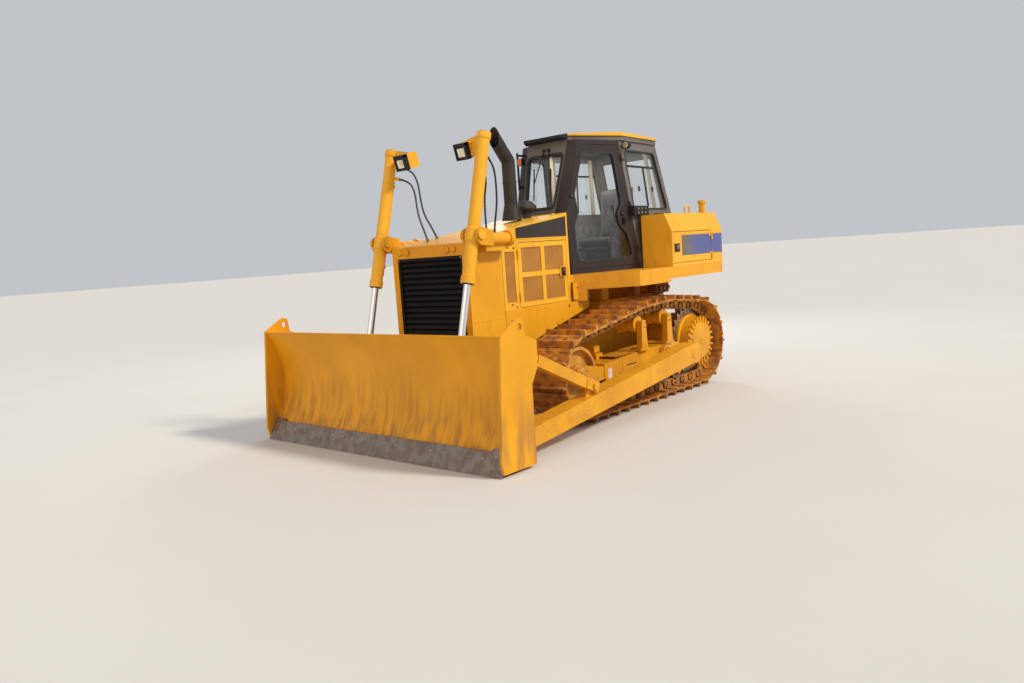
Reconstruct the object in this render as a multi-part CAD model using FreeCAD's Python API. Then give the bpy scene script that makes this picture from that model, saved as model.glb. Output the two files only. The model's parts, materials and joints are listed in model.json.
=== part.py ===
import FreeCAD, Part
import math
import os

# Crawler dozer with a straight blade, millimetres.
# X runs forward, Y to the machine's left, Z up. Stations along X are counted from the
# sprocket axis; save() then moves every piece so that the middle of the whole machine,
# on the ground, is the origin.

V = FreeCAD.Vector

# Gaps between running pieces and between seated pieces
running_gap = 8.0
seat_gap = 0.3

# Tracks
track_y = 940.0
shoe_width = 510.0
shoe_count = 37
shoe_gap = 9.0
plate_thickness = 14.0
grouser_height = 55.0
grouser_root = 34.0
grouser_tip = 16.0
grouser_setback = 22.0
link_above_pin = 56.0
link_below_pin = 47.0
link_thickness = 50.0
link_offset = 80.0
tread_top = grouser_height + plate_thickness + link_above_pin

# Sprockets and idlers
sprocket_teeth = 27
sprocket_pitch_radius = 434.0
sprocket_tip = sprocket_pitch_radius + 13
sprocket_root = sprocket_pitch_radius - 34
sprocket_thickness = 76.0
sprocket_z = tread_top + sprocket_pitch_radius
idler_x = 2430.0
idler_pitch_radius = 369.0
idler_radius = idler_pitch_radius - 64
idler_flange = 20.0
idler_flange_width = 84.0
idler_width = 210.0
idler_z = tread_top + idler_pitch_radius
idler_shaft = 45.0

# Rollers
roller_radius = 98.0
roller_flange = 18.0
roller_shaft = 38.0
roller_first_x = 500.0
roller_last_x = idler_x - 470
roller_count = 6
carrier_radius = 84.0
carrier_flange = 12.0
carrier_shaft = 34.0
# x of the carrier, height of the chain's pins above it
carriers = ((740.0, 1066.0), (1300.0, 1040.0))

# Track frames
frame_inner_y = track_y - 158
frame_outer_y = track_y + 158
frame_wall = 26.0
frame_front_x = idler_x - 380
frame_rear_x = 470.0
frame_bottom = 400.0
frame_guard_bottom = 235.0

# Final drives
drive_radius = sprocket_root - 70
drive_clamp_radius = drive_radius + 15
cover_rim_radius = drive_radius - 30
cover_radius = drive_radius - 115
cover_face_y = track_y + 225
cover_ribs = 24

# Hull
hull_half_width = 400.0
hull_rear_x = -420.0
hull_bottom = 410.0
hull_top = 1150.0
hull_bay_top = 860.0
bar_x = idler_x - 620
bar_width = 100.0
bar_low = 640.0
bar_high = 790.0

# Radiator guard, hood and engine bay
guard_front_x = idler_x + 1004
guard_rear_x = guard_front_x - 489
guard_half_width = 545.0
guard_top_front = 1935.0
guard_bottom = 640.0
guard_nose_x = guard_front_x - 59
guard_wall = 40.0
grille_margin = 75.0
grille_slats = 17
hood_slope = 0.158
hood_half_width = 450.0
hood_rear_x = 1690.0
hood_skirt_z = guard_top_front - 3
hood_wall = 24.0
bay_sill_z = 1205.0

# Engine side doors and the mesh panel ahead of them
engine_door_front = guard_rear_x - 360
engine_door_rear = 1742.0
engine_door_top = 1902.0
engine_door_bottom = 1222.0
engine_door_thickness = 36.0
mesh_rear = guard_rear_x - 305
mesh_front = guard_rear_x - 155

# Cab: wall planes, windows and door
platform_top = 1505.0
cab_floor_z = platform_top + seat_gap
cab_waist_z = 2200.0
cab_roof_z = 3045.0
cab_wall = 45.0
door_gap = 6.0

# Platform and tank boxes
platform_outer_y = track_y + 141
platform_front_x = 1230.0
platform_depth = 85.0
tank_rear = -790.0
tank_front = -540.0
box_front_x = 484.0
box_inner_y = 668.0
box_top = 2140.0
box_chamfer_z = 1926.0
box_bottom = 1450.0
box_wall = 34.0
box_door_front = 452.0
box_door_rear = -490.0
lid_y = platform_outer_y - 181

# Drawbar
drawbar_x = tank_rear + 90
drawbar_low = 640.0
drawbar_high = 700.0
drawbar_pin = 26.0

# Push arms and blade
arm_pivot_x = 850.0
arm_pivot_z = 530.0
arm_inner_y = track_y + 390
arm_outer_y = arm_inner_y + 200
trunnion_radius = 62.0
beam_back_x = guard_front_x + 516
arm_front_x = beam_back_x - seat_gap
arm_front_z = 172.0
blade_half_width = arm_outer_y + 170
blade_height = 1147.0
end_plate = 26.0
edge_tip_x = guard_front_x + 975
edge_thickness = 24.0
edge_height = 190.0
edge_lean = math.radians(30)
mould_thickness = 30.0
mould_bottom_z = 60.0
mould_bend_z = 206.0
mould_depth = 142.0
mould_top_x = guard_front_x + 886
bit_width = 200.0
bit_height = mould_bend_z + 6
bit_proud = 1.0

# Brace and tilt cylinder between the arms and the blade's back
brace_front_x = guard_front_x + 270
brace_front_z = 885.0
brace_rear_x = brace_front_x - 892
brace_rear_z = 480.0
brace_y = arm_inner_y + 120
lug_gap = 34.0
lug_pin = 26.0

# Lift cylinders
trunnion_x = guard_front_x + 34
trunnion_z = guard_top_front + 59
trunnion_pin = 34.0
cylinder_y = guard_half_width + 126
barrel_radius = 62.0
barrel_bore = 52.0
barrel_above = 1000.0
barrel_below = 467.0
rod_radius = 35.0
rod_length = 1580.0
rod_eye_x = guard_front_x + 429
rod_eye_z = 529.0
rod_eye_radius = 66.0
rod_eye_bore = 42.0
rod_eye_gap = 42.0
rod_pin = 30.0
hose_radius = 10.0
lamp_width = 153.0
lamp_height = 155.0
lamp_depth = 187.0
lamp_x = -29.0
lamp_inboard = 228.0
lamp_drop = 127.0
lamp_pitch = 30.0

# Middle of the whole machine
origin_x = (edge_tip_x + bit_proud + tank_rear) / 2


def hood_height(x):
    return guard_top_front + hood_slope * (guard_front_x - x)


def save(name, *solids):
    shape = solids[0] if len(solids) == 1 else Part.makeCompound(list(solids))
    shape = shape.copy()
    shape.translate(V(-origin_x, 0, 0))
    shape.exportStep("parts/" + name + ".step")


def box(x0, x1, y0, y1, z0, z1):
    return Part.makeBox(x1 - x0, y1 - y0, z1 - z0, V(x0, y0, z0))


def mirrored(shape):
    return shape.mirror(V(0, 0, 0), V(0, 1, 0))


def rounded_face(corners, place):
    # corners: rows of u, v, radius; place turns u, v into a point in space
    rows = [c if len(c) == 3 else (c[0], c[1], 0.0) for c in corners]
    spans = []
    for i, (u, v, r) in enumerate(rows):
        pu, pv, _ = rows[i - 1]
        nu, nv, _ = rows[(i + 1) % len(rows)]
        a = (pu - u, pv - v)
        b = (nu - u, nv - v)
        la = math.hypot(*a)
        lb = math.hypot(*b)
        if r <= 0:
            spans.append(((u, v), None, (u, v)))
            continue
        a = (a[0] / la, a[1] / la)
        b = (b[0] / lb, b[1] / lb)
        half = 0.5 * math.acos(max(-1.0, min(1.0, a[0] * b[0] + a[1] * b[1])))
        reach = min(r / math.tan(half), 0.49 * la, 0.49 * lb)
        radius = reach * math.tan(half)
        mid = (a[0] + b[0], a[1] + b[1])
        lm = math.hypot(*mid)
        to_arc = radius / math.sin(half) - radius
        spans.append((
            (u + a[0] * reach, v + a[1] * reach),
            (u + mid[0] / lm * to_arc, v + mid[1] / lm * to_arc),
            (u + b[0] * reach, v + b[1] * reach),
        ))
    edges = []
    for i, (start, mid, end) in enumerate(spans):
        if mid is not None:
            edges.append(Part.Arc(place(*start), place(*mid), place(*end)).toShape())
        nxt = spans[(i + 1) % len(spans)][0]
        if math.hypot(nxt[0] - end[0], nxt[1] - end[1]) > 1e-6:
            edges.append(Part.LineSegment(place(*end), place(*nxt)).toShape())
    return Part.Face(Part.Wire(edges))


def side_plate(corners, y0, y1):
    # outline in X and Z, thickness along Y
    face = rounded_face(corners, lambda u, v: V(u, y0, v))
    return face.extrude(V(0, y1 - y0, 0))


def plan_plate(corners, z0, z1):
    # outline in X and Y, thickness along Z
    face = rounded_face(corners, lambda u, v: V(u, v, z0))
    return face.extrude(V(0, 0, z1 - z0))


def cross_plate(corners, x0, x1):
    # outline in Y and Z, thickness along X
    face = rounded_face(corners, lambda u, v: V(x0, u, v))
    return face.extrude(V(x1 - x0, 0, 0))


def across(x, z, radius, y0, y1):
    # round bar along Y
    return Part.makeCylinder(radius, y1 - y0, V(x, y0, z), V(0, 1, 0))


def turned_across(x, z, profile):
    # profile: rows of y, radius, turned about an axis along Y
    points = [V(x, profile[0][0], z)]
    points += [V(x, y, z + r) for y, r in profile]
    points += [V(x, profile[-1][0], z), V(x, profile[0][0], z)]
    return Part.Face(Part.makePolygon(points)).revolve(V(x, 0, z), V(0, 1, 0), 360)


# Door hinges: knuckles and a pin on an axis that stands clear of the door's face

hinge_offset = 12.0
hinge_radius = 10.0
hinge_pin = 5.0
hinge_length = 44.0


def set_in_place(shape, centre, along, toward):
    # shape drawn with Z on the hinge axis, X towards the door, Y outward or inward
    across_axis = along.cross(toward)
    matrix = FreeCAD.Matrix(toward.x, across_axis.x, along.x, centre.x,
                            toward.y, across_axis.y, along.y, centre.y,
                            toward.z, across_axis.z, along.z, centre.z, 0, 0, 0, 1)
    copy = shape.copy()
    copy.Placement = FreeCAD.Placement(matrix)
    return copy


def hinge(centre, along, toward, face):
    # face: which way the door's face lies from the axis along the local Y, +1 or -1
    sunk = sorted((face * (hinge_offset - 5), face * (hinge_offset + 1)))
    fixed = Part.makeCylinder(hinge_radius, hinge_length - 1, V(0, 0, -hinge_length))
    fixed = fixed.fuse(box(-42, -4, sunk[0], sunk[1], -hinge_length, -1))
    fixed = fixed.fuse(Part.makeCylinder(hinge_pin, hinge_length, V(0, 0, -2)))
    fixed = fixed.removeSplitter()
    moving = Part.makeCylinder(hinge_radius, hinge_length, V(0, 0, 0))
    moving = moving.fuse(box(4, 42, sunk[0], sunk[1], 0, hinge_length))
    moving = moving.cut(Part.makeCylinder(hinge_pin + seat_gap, hinge_length + 2, V(0, 0, -1)))
    return [set_in_place(piece, centre, along, toward) for piece in (fixed, moving)]


# Track: pitch line of the chain

def tangent_angle(centre, radius, point, side):
    dx = point[0] - centre[0]
    dz = point[1] - centre[1]
    return math.atan2(dz, dx) + side * math.acos(radius / math.hypot(dx, dz))


def chain_pins():
    sprocket = (0.0, sprocket_z)
    idler = (idler_x, idler_z)
    rear_carrier, front_carrier = carriers
    over_sprocket = tangent_angle(sprocket, sprocket_pitch_radius, rear_carrier, 1)
    over_idler = tangent_angle(idler, idler_pitch_radius, front_carrier, -1)

    def on(circle, radius, angle):
        return (circle[0] + radius * math.cos(angle), circle[1] + radius * math.sin(angle))

    # pieces of the loop from the rear of the sprocket: arc or line, and its length
    loop = [("arc", sprocket, sprocket_pitch_radius, math.pi, 1.5 * math.pi)]
    loop.append(("line", on(sprocket, sprocket_pitch_radius, 1.5 * math.pi),
                 on(idler, idler_pitch_radius, 1.5 * math.pi)))
    loop.append(("arc", idler, idler_pitch_radius, -0.5 * math.pi, over_idler))
    loop.append(("line", on(idler, idler_pitch_radius, over_idler), front_carrier))
    loop.append(("line", front_carrier, rear_carrier))
    loop.append(("line", rear_carrier, on(sprocket, sprocket_pitch_radius, over_sprocket)))
    loop.append(("arc", sprocket, sprocket_pitch_radius, over_sprocket, math.pi))

    def length(piece):
        if piece[0] == "arc":
            return piece[2] * abs(piece[4] - piece[3])
        return math.dist(piece[1], piece[2])

    pitch = sum(length(piece) for piece in loop) / shoe_count
    pins = []
    for i in range(shoe_count):
        left = i * pitch
        for piece in loop:
            if left <= length(piece):
                break
            left -= length(piece)
        share = left / length(piece)
        if piece[0] == "arc":
            pins.append(on(piece[1], piece[2], piece[3] + share * (piece[4] - piece[3])))
        else:
            a, b = piece[1], piece[2]
            pins.append((a[0] + share * (b[0] - a[0]), a[1] + share * (b[1] - a[1])))
    return pins


def chain_outline(pins, rows):
    # rows: share of the pitch, shift along the shoe, distance outward from the pins
    points = []
    for i, a in enumerate(pins):
        b = pins[(i + 1) % len(pins)]
        pitch = math.dist(a, b)
        ux = (b[0] - a[0]) / pitch
        uz = (b[1] - a[1]) / pitch
        for share, shift, out in rows:
            along = share * pitch + shift
            points.append((a[0] + ux * along + uz * out, a[1] + uz * along - ux * out))
    return points


def track(side):
    pins = chain_pins()
    plate_top = link_above_pin + plate_thickness
    tip = plate_top + grouser_height
    half_gap = shoe_gap / 2
    root_end = grouser_setback + grouser_root
    lean = (grouser_root - grouser_tip) / 2
    shoe = (
        (0, half_gap, plate_top),
        (0, grouser_setback, plate_top),
        (0, grouser_setback + lean, tip),
        (0, root_end - lean, tip),
        (0, root_end, plate_top),
        (1, -half_gap, plate_top),
        (1, -half_gap, link_above_pin),
        (1, half_gap, link_above_pin),
    )
    belt_inside = ((0, 0, link_above_pin - plate_thickness),)
    link_inside = ((0.18, 0, -link_below_pin), (0.82, 0, -link_below_pin), (1, 0, -0.6 * link_below_pin))

    def ring(rows, y0, y1):
        return side_plate(chain_outline(pins, rows), y0, y1)

    y0 = track_y - shoe_width / 2
    y1 = track_y + shoe_width / 2
    shape = ring(shoe, y0, y1).cut(ring(belt_inside, y0 - 1, y1 + 1))
    for offset in (-link_offset, link_offset):
        a = track_y + offset - link_thickness / 2
        b = a + link_thickness
        link = ring(((0, 0, link_above_pin - plate_thickness / 2),), a, b)
        link = link.cut(ring(link_inside, a - 1, b + 1))
        shape = shape.fuse(link)
    shape = shape.removeSplitter()
    return shape if side > 0 else mirrored(shape)


def both(solid):
    return [solid, mirrored(solid)]


def sprocket():
    points = []
    step = 2 * math.pi / sprocket_teeth
    # share of one tooth's step, radius; a root lies at the rear of the wheel
    tooth = ((-0.2, sprocket_root), (0.2, sprocket_root), (0.42, sprocket_tip), (0.58, sprocket_tip))
    for i in range(sprocket_teeth):
        base = math.pi + i * step
        for share, radius in tooth:
            angle = base + share * step
            points.append((radius * math.cos(angle), sprocket_z + radius * math.sin(angle)))
    half = sprocket_thickness / 2
    wheel = side_plate(points, track_y - half, track_y + half)
    hole = across(0, sprocket_z, drive_radius - 30, track_y - half - 1, track_y + half + 1)
    return wheel.cut(hole)


def final_drive():
    half = sprocket_thickness / 2 + seat_gap
    reach = track_y - hull_half_width
    cone_y = hull_half_width + 0.3 * reach
    inner = turned_across(0, sprocket_z, (
        (hull_half_width + seat_gap, 260), (cone_y, 260), (cone_y + 0.07 * reach, drive_clamp_radius),
        (track_y - half - 12, drive_clamp_radius), (track_y - half, drive_radius - 15)))
    hub = turned_across(0, sprocket_z, (
        (track_y - half, drive_radius - 30 - seat_gap), (track_y + half, drive_radius - 30 - seat_gap),
        (track_y + half, drive_radius + 5), (track_y + half + 26, drive_radius + 5),
        (track_y + half + 34, cover_rim_radius),
        (cover_face_y - 42, cover_rim_radius - 12), (cover_face_y - 30, cover_radius + 14),
        (cover_face_y - 10, cover_radius), (cover_face_y, cover_radius - 40)))
    shape = inner.fuse(hub)
    for i in range(cover_ribs):
        rib = box(cover_radius + 6, cover_rim_radius, cover_face_y - 44, cover_face_y - 16, -11, 11)
        rib.rotate(V(0, 0, 0), V(0, 1, 0), 360.0 * i / cover_ribs)
        rib.translate(V(0, 0, sprocket_z))
        shape = shape.fuse(rib)
    return shape


def idler():
    half = idler_width / 2
    flange = idler_flange_width / 2
    web = 45.0
    wheel = turned_across(idler_x, idler_z, (
        (track_y - half, idler_radius - 4), (track_y - flange - 4, idler_radius - seat_gap),
        (track_y - flange, idler_radius + idler_flange), (track_y + flange, idler_radius + idler_flange),
        (track_y + flange + 4, idler_radius - seat_gap), (track_y + half, idler_radius - 4)))
    for sign in (-1, 1):
        y0 = track_y + sign * (web + half) / 2 - (half - web) / 2 - 1
        groove = across(idler_x, idler_z, idler_radius - 34, y0, y0 + half - web + 2)
        groove = groove.cut(across(idler_x, idler_z, 120, y0, y0 + half - web + 2))
        wheel = wheel.cut(groove)
    bore = across(idler_x, idler_z, idler_shaft + seat_gap, track_y - half - 1, track_y + half + 1)
    return wheel.cut(bore)


def idler_yoke():
    half = idler_width / 2
    inner = half + running_gap
    outer = frame_outer_y - track_y - 8
    x = idler_x
    z = idler_z
    rear = frame_front_x + seat_gap
    top = frame_bottom + 140
    outline = ((rear, frame_bottom), (x - 60, z - 105), (x + 75, z - 105, 40), (x + 110, z, 60),
               (x + 75, z + 95, 60), (x - 90, z + 95, 40), (rear, top))
    shape = across(x, z, idler_shaft, track_y - outer, track_y + outer)
    for sign in (-1, 1):
        a = track_y + sign * inner
        b = track_y + sign * outer
        shape = shape.fuse(side_plate(outline, min(a, b), max(a, b)))
    back = box(rear, frame_front_x + 30, track_y - outer, track_y + outer, frame_bottom, top)
    return shape.fuse(back).removeSplitter()


# x and height of the beam's top plate, from the rear
frame_top_line = ((frame_rear_x, 600.0), (640.0, 622.0), (1330.0, 606.0), (frame_front_x, 562.0))


def frame_top(x):
    # height of the beam's top plate at a station
    for (x0, z0), (x1, z1) in zip(frame_top_line, frame_top_line[1:]):
        if x <= x1:
            break
    return z0 + (z1 - z0) * (x - x0) / (x1 - x0)


def track_frame(side):
    outline = ((frame_rear_x, frame_bottom), (frame_front_x, frame_bottom)) + tuple(reversed(frame_top_line))
    beam = side_plate(outline[:-1] + (frame_top_line[0],), frame_inner_y, frame_outer_y)
    shape = beam.cut(box(frame_rear_x - 1, frame_front_x + 1, frame_inner_y + frame_wall,
                         frame_outer_y - frame_wall, frame_bottom - 20, frame_bottom + frame_wall))
    # side guards that carry the rollers' shafts
    first = roller_first_x - 60
    last = roller_last_x + 60
    for y0 in (frame_inner_y, frame_outer_y - frame_wall):
        guard = side_plate(((first, frame_bottom + 1), (first, frame_guard_bottom, 40),
                            (last, frame_guard_bottom, 40), (last, frame_bottom + 1)), y0, y0 + frame_wall)
        for x in roller_stations():
            guard = guard.cut(across(x, roller_z(), roller_shaft + seat_gap, y0 - 1, y0 + frame_wall + 1))
        shape = shape.fuse(guard)
    pad = box(bar_x - 62, bar_x + 62, frame_inner_y, frame_inner_y + 90, 560, bar_low - seat_gap)
    shape = shape.fuse(pad)
    # rear end clamped round the final drive's housing
    clamp_y0 = frame_inner_y - 142
    clamp_y1 = frame_inner_y - 2
    seam = frame_rear_x + 1
    rear = side_plate(((-40, 470), (seam, 440), (seam, 600), (-40, 640)), clamp_y0, clamp_y1)
    rear = rear.cut(across(0, sprocket_z, drive_clamp_radius + seat_gap, clamp_y0 - 40, clamp_y1 + 20))
    neck = box(frame_rear_x, 640, clamp_y0, frame_inner_y + 1, 440, 600)
    shape = shape.fuse(rear).fuse(neck)
    # trunnion that carries the push arm
    stub = across(arm_pivot_x, arm_pivot_z, trunnion_radius, frame_outer_y - 1, arm_inner_y + 118)
    collar = across(arm_pivot_x, arm_pivot_z, trunnion_radius + 26, frame_outer_y - 1, frame_outer_y + 60)
    shape = shape.fuse(stub).fuse(collar).removeSplitter()
    return shape if side > 0 else mirrored(shape)


def roller_stations():
    step = (roller_last_x - roller_first_x) / (roller_count - 1)
    return [roller_first_x + i * step for i in range(roller_count)]


def roller_z():
    return tread_top + link_below_pin + roller_radius + seat_gap


def flanged_roller(x, z, radius, flange, y0, y1):
    # double flanged tread: the flanges run outside each link rail
    rail = link_offset + link_thickness / 2
    edge = rail + 4
    # y from the chain's middle, radius; the inner half mirrors the outer half
    outer = ((36, radius - 14), (40, radius), (edge - 2, radius), (edge, radius + flange),
             (edge + 14, radius + flange), (edge + 16, radius - 20))
    rows = [(y0, radius - 26)]
    rows += [(track_y - y, r) for y, r in reversed(outer)]
    rows += [(track_y + y, r) for y, r in outer]
    return turned_across(x, z, rows + [(y1, radius - 26)])


def track_rollers():
    solids = []
    y0 = frame_inner_y + frame_wall + 4
    y1 = frame_outer_y - frame_wall - 4
    for x in roller_stations():
        roller = flanged_roller(x, roller_z(), roller_radius, roller_flange, y0, y1)
        shaft = across(x, roller_z(), roller_shaft, frame_inner_y - 6, frame_outer_y + 6)
        solids += both(roller.fuse(shaft))
    return solids


def carrier_rollers():
    solids = []
    post_y0 = track_y + link_offset + link_thickness / 2 + 30
    post_y1 = post_y0 + 66
    for x, pin_z in carriers:
        z = pin_z - link_below_pin - carrier_radius - 4
        seat = frame_top(x - 90) + seat_gap
        roller = flanged_roller(x, z, carrier_radius, carrier_flange, track_y - 126, track_y + 126)
        shaft = across(x, z, carrier_shaft, track_y - 134, post_y0 + 2)
        post = side_plate(((x - 66, seat), (x + 66, seat), (x + 46, z - 30), (x + 48, z + 46, 30),
                           (x - 48, z + 46, 30), (x - 46, z - 30)), post_y0, post_y1)
        foot = box(x - 88, x + 88, post_y0 - 90, post_y1, seat, seat + 26)
        solids += both(roller.fuse(shaft).fuse(post).fuse(foot).removeSplitter())
    return solids


# Hull

def main_frame():
    half = hull_half_width
    nose = guard_bottom - seat_gap
    bay_front = guard_rear_x - 245
    hull = side_plate((
        (hull_rear_x, 640, 60), (hull_rear_x + 120, hull_bottom), (guard_front_x - 454, hull_bottom, 60),
        (guard_nose_x, nose - 28, 20), (guard_nose_x, nose), (bay_front, nose), (bay_front, hull_bay_top),
        (1050, hull_bay_top), (1050, hull_top), (hull_rear_x, hull_top)), -half, half)
    # passage for the equalizer bar
    return hull.cut(box(bar_x - 70, bar_x + 70, -half - 1, half + 1, bar_low - 20, bar_high + 20))


def equalizer_bar():
    # its ends rest on the track frames' pads, its middle is pinned under the hull
    end = frame_inner_y + 60
    outline = ((-end, bar_low, 20), (-end, bar_low + 80, 30), (0, bar_high, 200), (end, bar_low + 80, 30),
               (end, bar_low, 20))
    bar = cross_plate(outline, bar_x - bar_width / 2, bar_x + bar_width / 2)
    pin = Part.makeCylinder(30, 139.4, V(bar_x - 69.7, 0, (bar_low + bar_high) / 2), V(1, 0, 0))
    return bar.fuse(pin)


def radiator_guard():
    half = guard_half_width
    z0 = guard_bottom
    outline = ((guard_front_x, z0), (guard_front_x, guard_top_front),
               (guard_rear_x, hood_height(guard_rear_x)), (guard_rear_x, 1020, 60),
               (guard_rear_x - 145, hull_bay_top, 60), (guard_rear_x - 205, z0))
    shell = side_plate(outline, -half, half)
    inner = box(guard_rear_x - 600, guard_front_x - 60, -half + guard_wall, half - guard_wall,
                z0 + 60, guard_top_front - 30)
    shell = shell.cut(inner)
    opening = box(guard_front_x - 200, guard_front_x + 10, grille_margin - half, half - grille_margin,
                  z0 + 120, guard_top_front - 120)
    shell = shell.cut(opening)
    for y in (-430, -370, 290, 350):
        boss = Part.makeCylinder(17, 16, V(guard_front_x - 1, y, guard_top_front - 58), V(1, 0, 0))
        shell = shell.fuse(boss)
    return shell.removeSplitter()


def radiator_grille():
    half = guard_half_width - grille_margin - seat_gap
    low = guard_bottom + 120 + seat_gap
    high = guard_top_front - 120 - seat_gap
    frame = box(guard_front_x - 50, guard_front_x - 4, -half, half, low, high)
    frame = frame.cut(box(guard_front_x - 60, guard_front_x, -half + 32, half - 32, low + 32, high - 32))
    step = (high - low - 64) / grille_slats
    for i in range(grille_slats):
        z = low + 32 + (i + 0.5) * step
        slat = side_plate(((guard_front_x - 46, z + 0.34 * step), (guard_front_x - 40, z + 0.40 * step),
                           (guard_front_x - 8, z - 0.34 * step), (guard_front_x - 14, z - 0.40 * step)),
                          31 - half, half - 31)
        frame = frame.fuse(slat)
    return frame.removeSplitter()


def hood():
    shell = None
    for wall, drop in ((0, 0), (hood_wall, 1)):
        x0 = hood_rear_x + wall
        x1 = guard_rear_x - seat_gap - wall
        outline = ((x0, hood_skirt_z - drop), (x1, hood_skirt_z - drop), (x1, hood_height(x1) - wall),
                   (x0, hood_height(x0) - wall))
        block = side_plate(outline, wall - hood_half_width, hood_half_width - wall)
        shell = block if shell is None else shell.cut(block)
    return shell


def engine_hinges():
    x = engine_door_front + door_gap / 2
    y = hood_half_width + hinge_offset
    return [hinge(V(x, y, z), V(0, 0, 1), V(-1, 0, 0), 1) for z in (1330, 1780)]


def engine_side_frames():
    y0 = hood_half_width - engine_door_thickness
    top = hood_skirt_z - seat_gap
    panel = box(hood_rear_x, guard_rear_x - seat_gap, y0, hood_half_width, bay_sill_z, top)
    hole = box(engine_door_rear - door_gap, engine_door_front + door_gap, y0 - 1, hood_half_width + 1,
               engine_door_bottom - door_gap, engine_door_top + door_gap)
    panel = panel.cut(hole)
    # recess of the mesh panel, from both faces
    for a, b in ((y0 - 1, y0 + 9), (hood_half_width - 11, hood_half_width + 1)):
        panel = panel.cut(box(mesh_rear, mesh_front, a, b, 1290, 1815))
    for fixed, moving in engine_hinges():
        panel = panel.fuse(fixed)
    return both(panel)


def engine_door(side):
    y0 = hood_half_width - engine_door_thickness
    door = box(engine_door_rear, engine_door_front, y0, hood_half_width, engine_door_bottom, engine_door_top)
    width = (engine_door_front - engine_door_rear - 3 * 60) / 2
    height = (engine_door_top - engine_door_bottom - 3 * 52) / 2
    for i in range(2):
        for j in range(2):
            x = engine_door_rear + 60 + i * (width + 60)
            z = engine_door_bottom + 52 + j * (height + 52)
            door = door.cut(box(x, x + width, hood_half_width - 12, hood_half_width + 1, z, z + height))
    x = engine_door_rear + 12
    door = door.fuse(box(x, x + 40, hood_half_width - 1, hood_half_width + 8, 1520, 1600))
    for fixed, moving in engine_hinges():
        door = door.fuse(moving)
    return door if side > 0 else mirrored(door)


def engine_block():
    return box(1780, guard_rear_x - 255, -280, 280, hull_bay_top + seat_gap, 1760)


def hull_side_panels():
    x = guard_rear_x
    outline = ((1400, bay_sill_z - seat_gap), (1400, 1120, 60), (x - 695, 905, 200), (x - 385, 820, 60),
               (x - 205, 860, 80), (x - 85, 1040, 60), (x - 6, bay_sill_z - seat_gap))
    panel = side_plate(outline, hull_half_width + seat_gap, hood_half_width + 30)
    panel = panel.cut(box(1440, x - 40, hull_half_width, hood_half_width, hull_bay_top + 20, bay_sill_z + 1))
    return both(panel)


def exhaust_stack():
    x = 2110.0
    radius = 75.0
    bend_z = 2815.0
    base_z = hood_height(x - 112) + seat_gap
    foot = Part.makeCone(112, radius + 4, 165, V(x, 0, base_z), V(0, 0, 1))
    pipe = Part.makeCylinder(radius, bend_z - base_z - 160, V(x, 0, base_z + 160), V(0, 0, 1))
    knee = Part.makeSphere(radius, V(x, 0, bend_z))
    slant = V(math.sin(math.radians(40)), 0, math.cos(math.radians(40)))
    upper = Part.makeCylinder(radius, 420, V(x, 0, bend_z), slant)
    bore = Part.makeCylinder(radius - 8, 300, V(x, 0, bend_z) + slant * 130, slant)
    solid = foot.fuse(pipe).fuse(knee).fuse(upper).cut(bore)
    # mouth cut upright
    return solid.cut(box(x + 205, x + 900, -200, 200, bend_z - 300, bend_z + 600)).removeSplitter()


def precleaner():
    x = 1850.0
    z = hood_height(x - 55) + seat_gap
    # radius, height
    rows = ((0, 0), (55, 0), (55, 70), (120, 95), (120, 120), (70, 175), (0, 190), (0, 0))
    points = [V(x + radius, 0, z + height) for radius, height in rows]
    return Part.Face(Part.makePolygon(points)).revolve(V(x, 0, 0), V(0, 0, 1), 360)


# Cab

door_plane_slope = 0.238
door_plane_lean = 0.0305
door_plane_x = 500.0
door_plane_y = 650.0
rear_plane_slope = 0.08
rear_plane_lean = 0.0752


def door_y(x, z):
    return door_plane_y - door_plane_slope * (x - door_plane_x) - door_plane_lean * (z - cab_floor_z)


def rear_y(x, z):
    return door_plane_y + rear_plane_slope * (x - door_plane_x) - rear_plane_lean * (z - cab_floor_z)


def pillar_x(z):
    # where the door's plane meets the rear side's plane
    share = (rear_plane_lean - door_plane_lean) / (rear_plane_slope + door_plane_slope)
    return door_plane_x + share * (z - cab_floor_z)


def cab_section(z, front_x, front_half, corner_x, rear_x, inset):
    # half outline from the windscreen to the rear wall, then its mirror
    half = [(front_x, front_half), (corner_x, door_y(corner_x, z)), (pillar_x(z), door_y(pillar_x(z), z)),
            (rear_x, rear_y(rear_x, z))]
    loop = half + [(x, -y) for x, y in reversed(half)]
    moved = []
    count = len(loop)
    for i in range(count):
        p, c, n = loop[i - 1], loop[i], loop[(i + 1) % count]
        moved.append(inset_corner(p, c, n, inset))
    points = [V(x, y, z) for x, y in moved]
    return Part.makePolygon(points + [points[0]])


def inset_corner(p, c, n, inset):
    a = (c[0] - p[0], c[1] - p[1])
    b = (n[0] - c[0], n[1] - c[1])
    la = math.hypot(*a)
    lb = math.hypot(*b)
    na = (-a[1] / la, a[0] / la)
    nb = (-b[1] / lb, b[0] / lb)
    scale = inset / (1 + na[0] * nb[0] + na[1] * nb[1])
    return (c[0] + scale * (na[0] + nb[0]), c[1] + scale * (na[1] + nb[1]))


# height, windscreen x and half width, front corner x, rear wall x
cab_levels = (
    (cab_floor_z, 1604.0, 236.0, 1578.0, -520.0),
    (cab_waist_z, 1634.0, 240.0, 1606.0, -500.0),
    (cab_roof_z, 1384.0, 300.0, 1356.0, -245.0),
)


def cab_body(inset, low, high):
    shape = None
    for bottom, top in zip(cab_levels, cab_levels[1:]):
        wires = [cab_section(*bottom, inset), cab_section(*top, inset)]
        part = Part.makeLoft(wires, True, True)
        shape = part if shape is None else shape.fuse(part)
    return shape.common(box(-2000, 3000, -1500, 1500, low, high))


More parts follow.
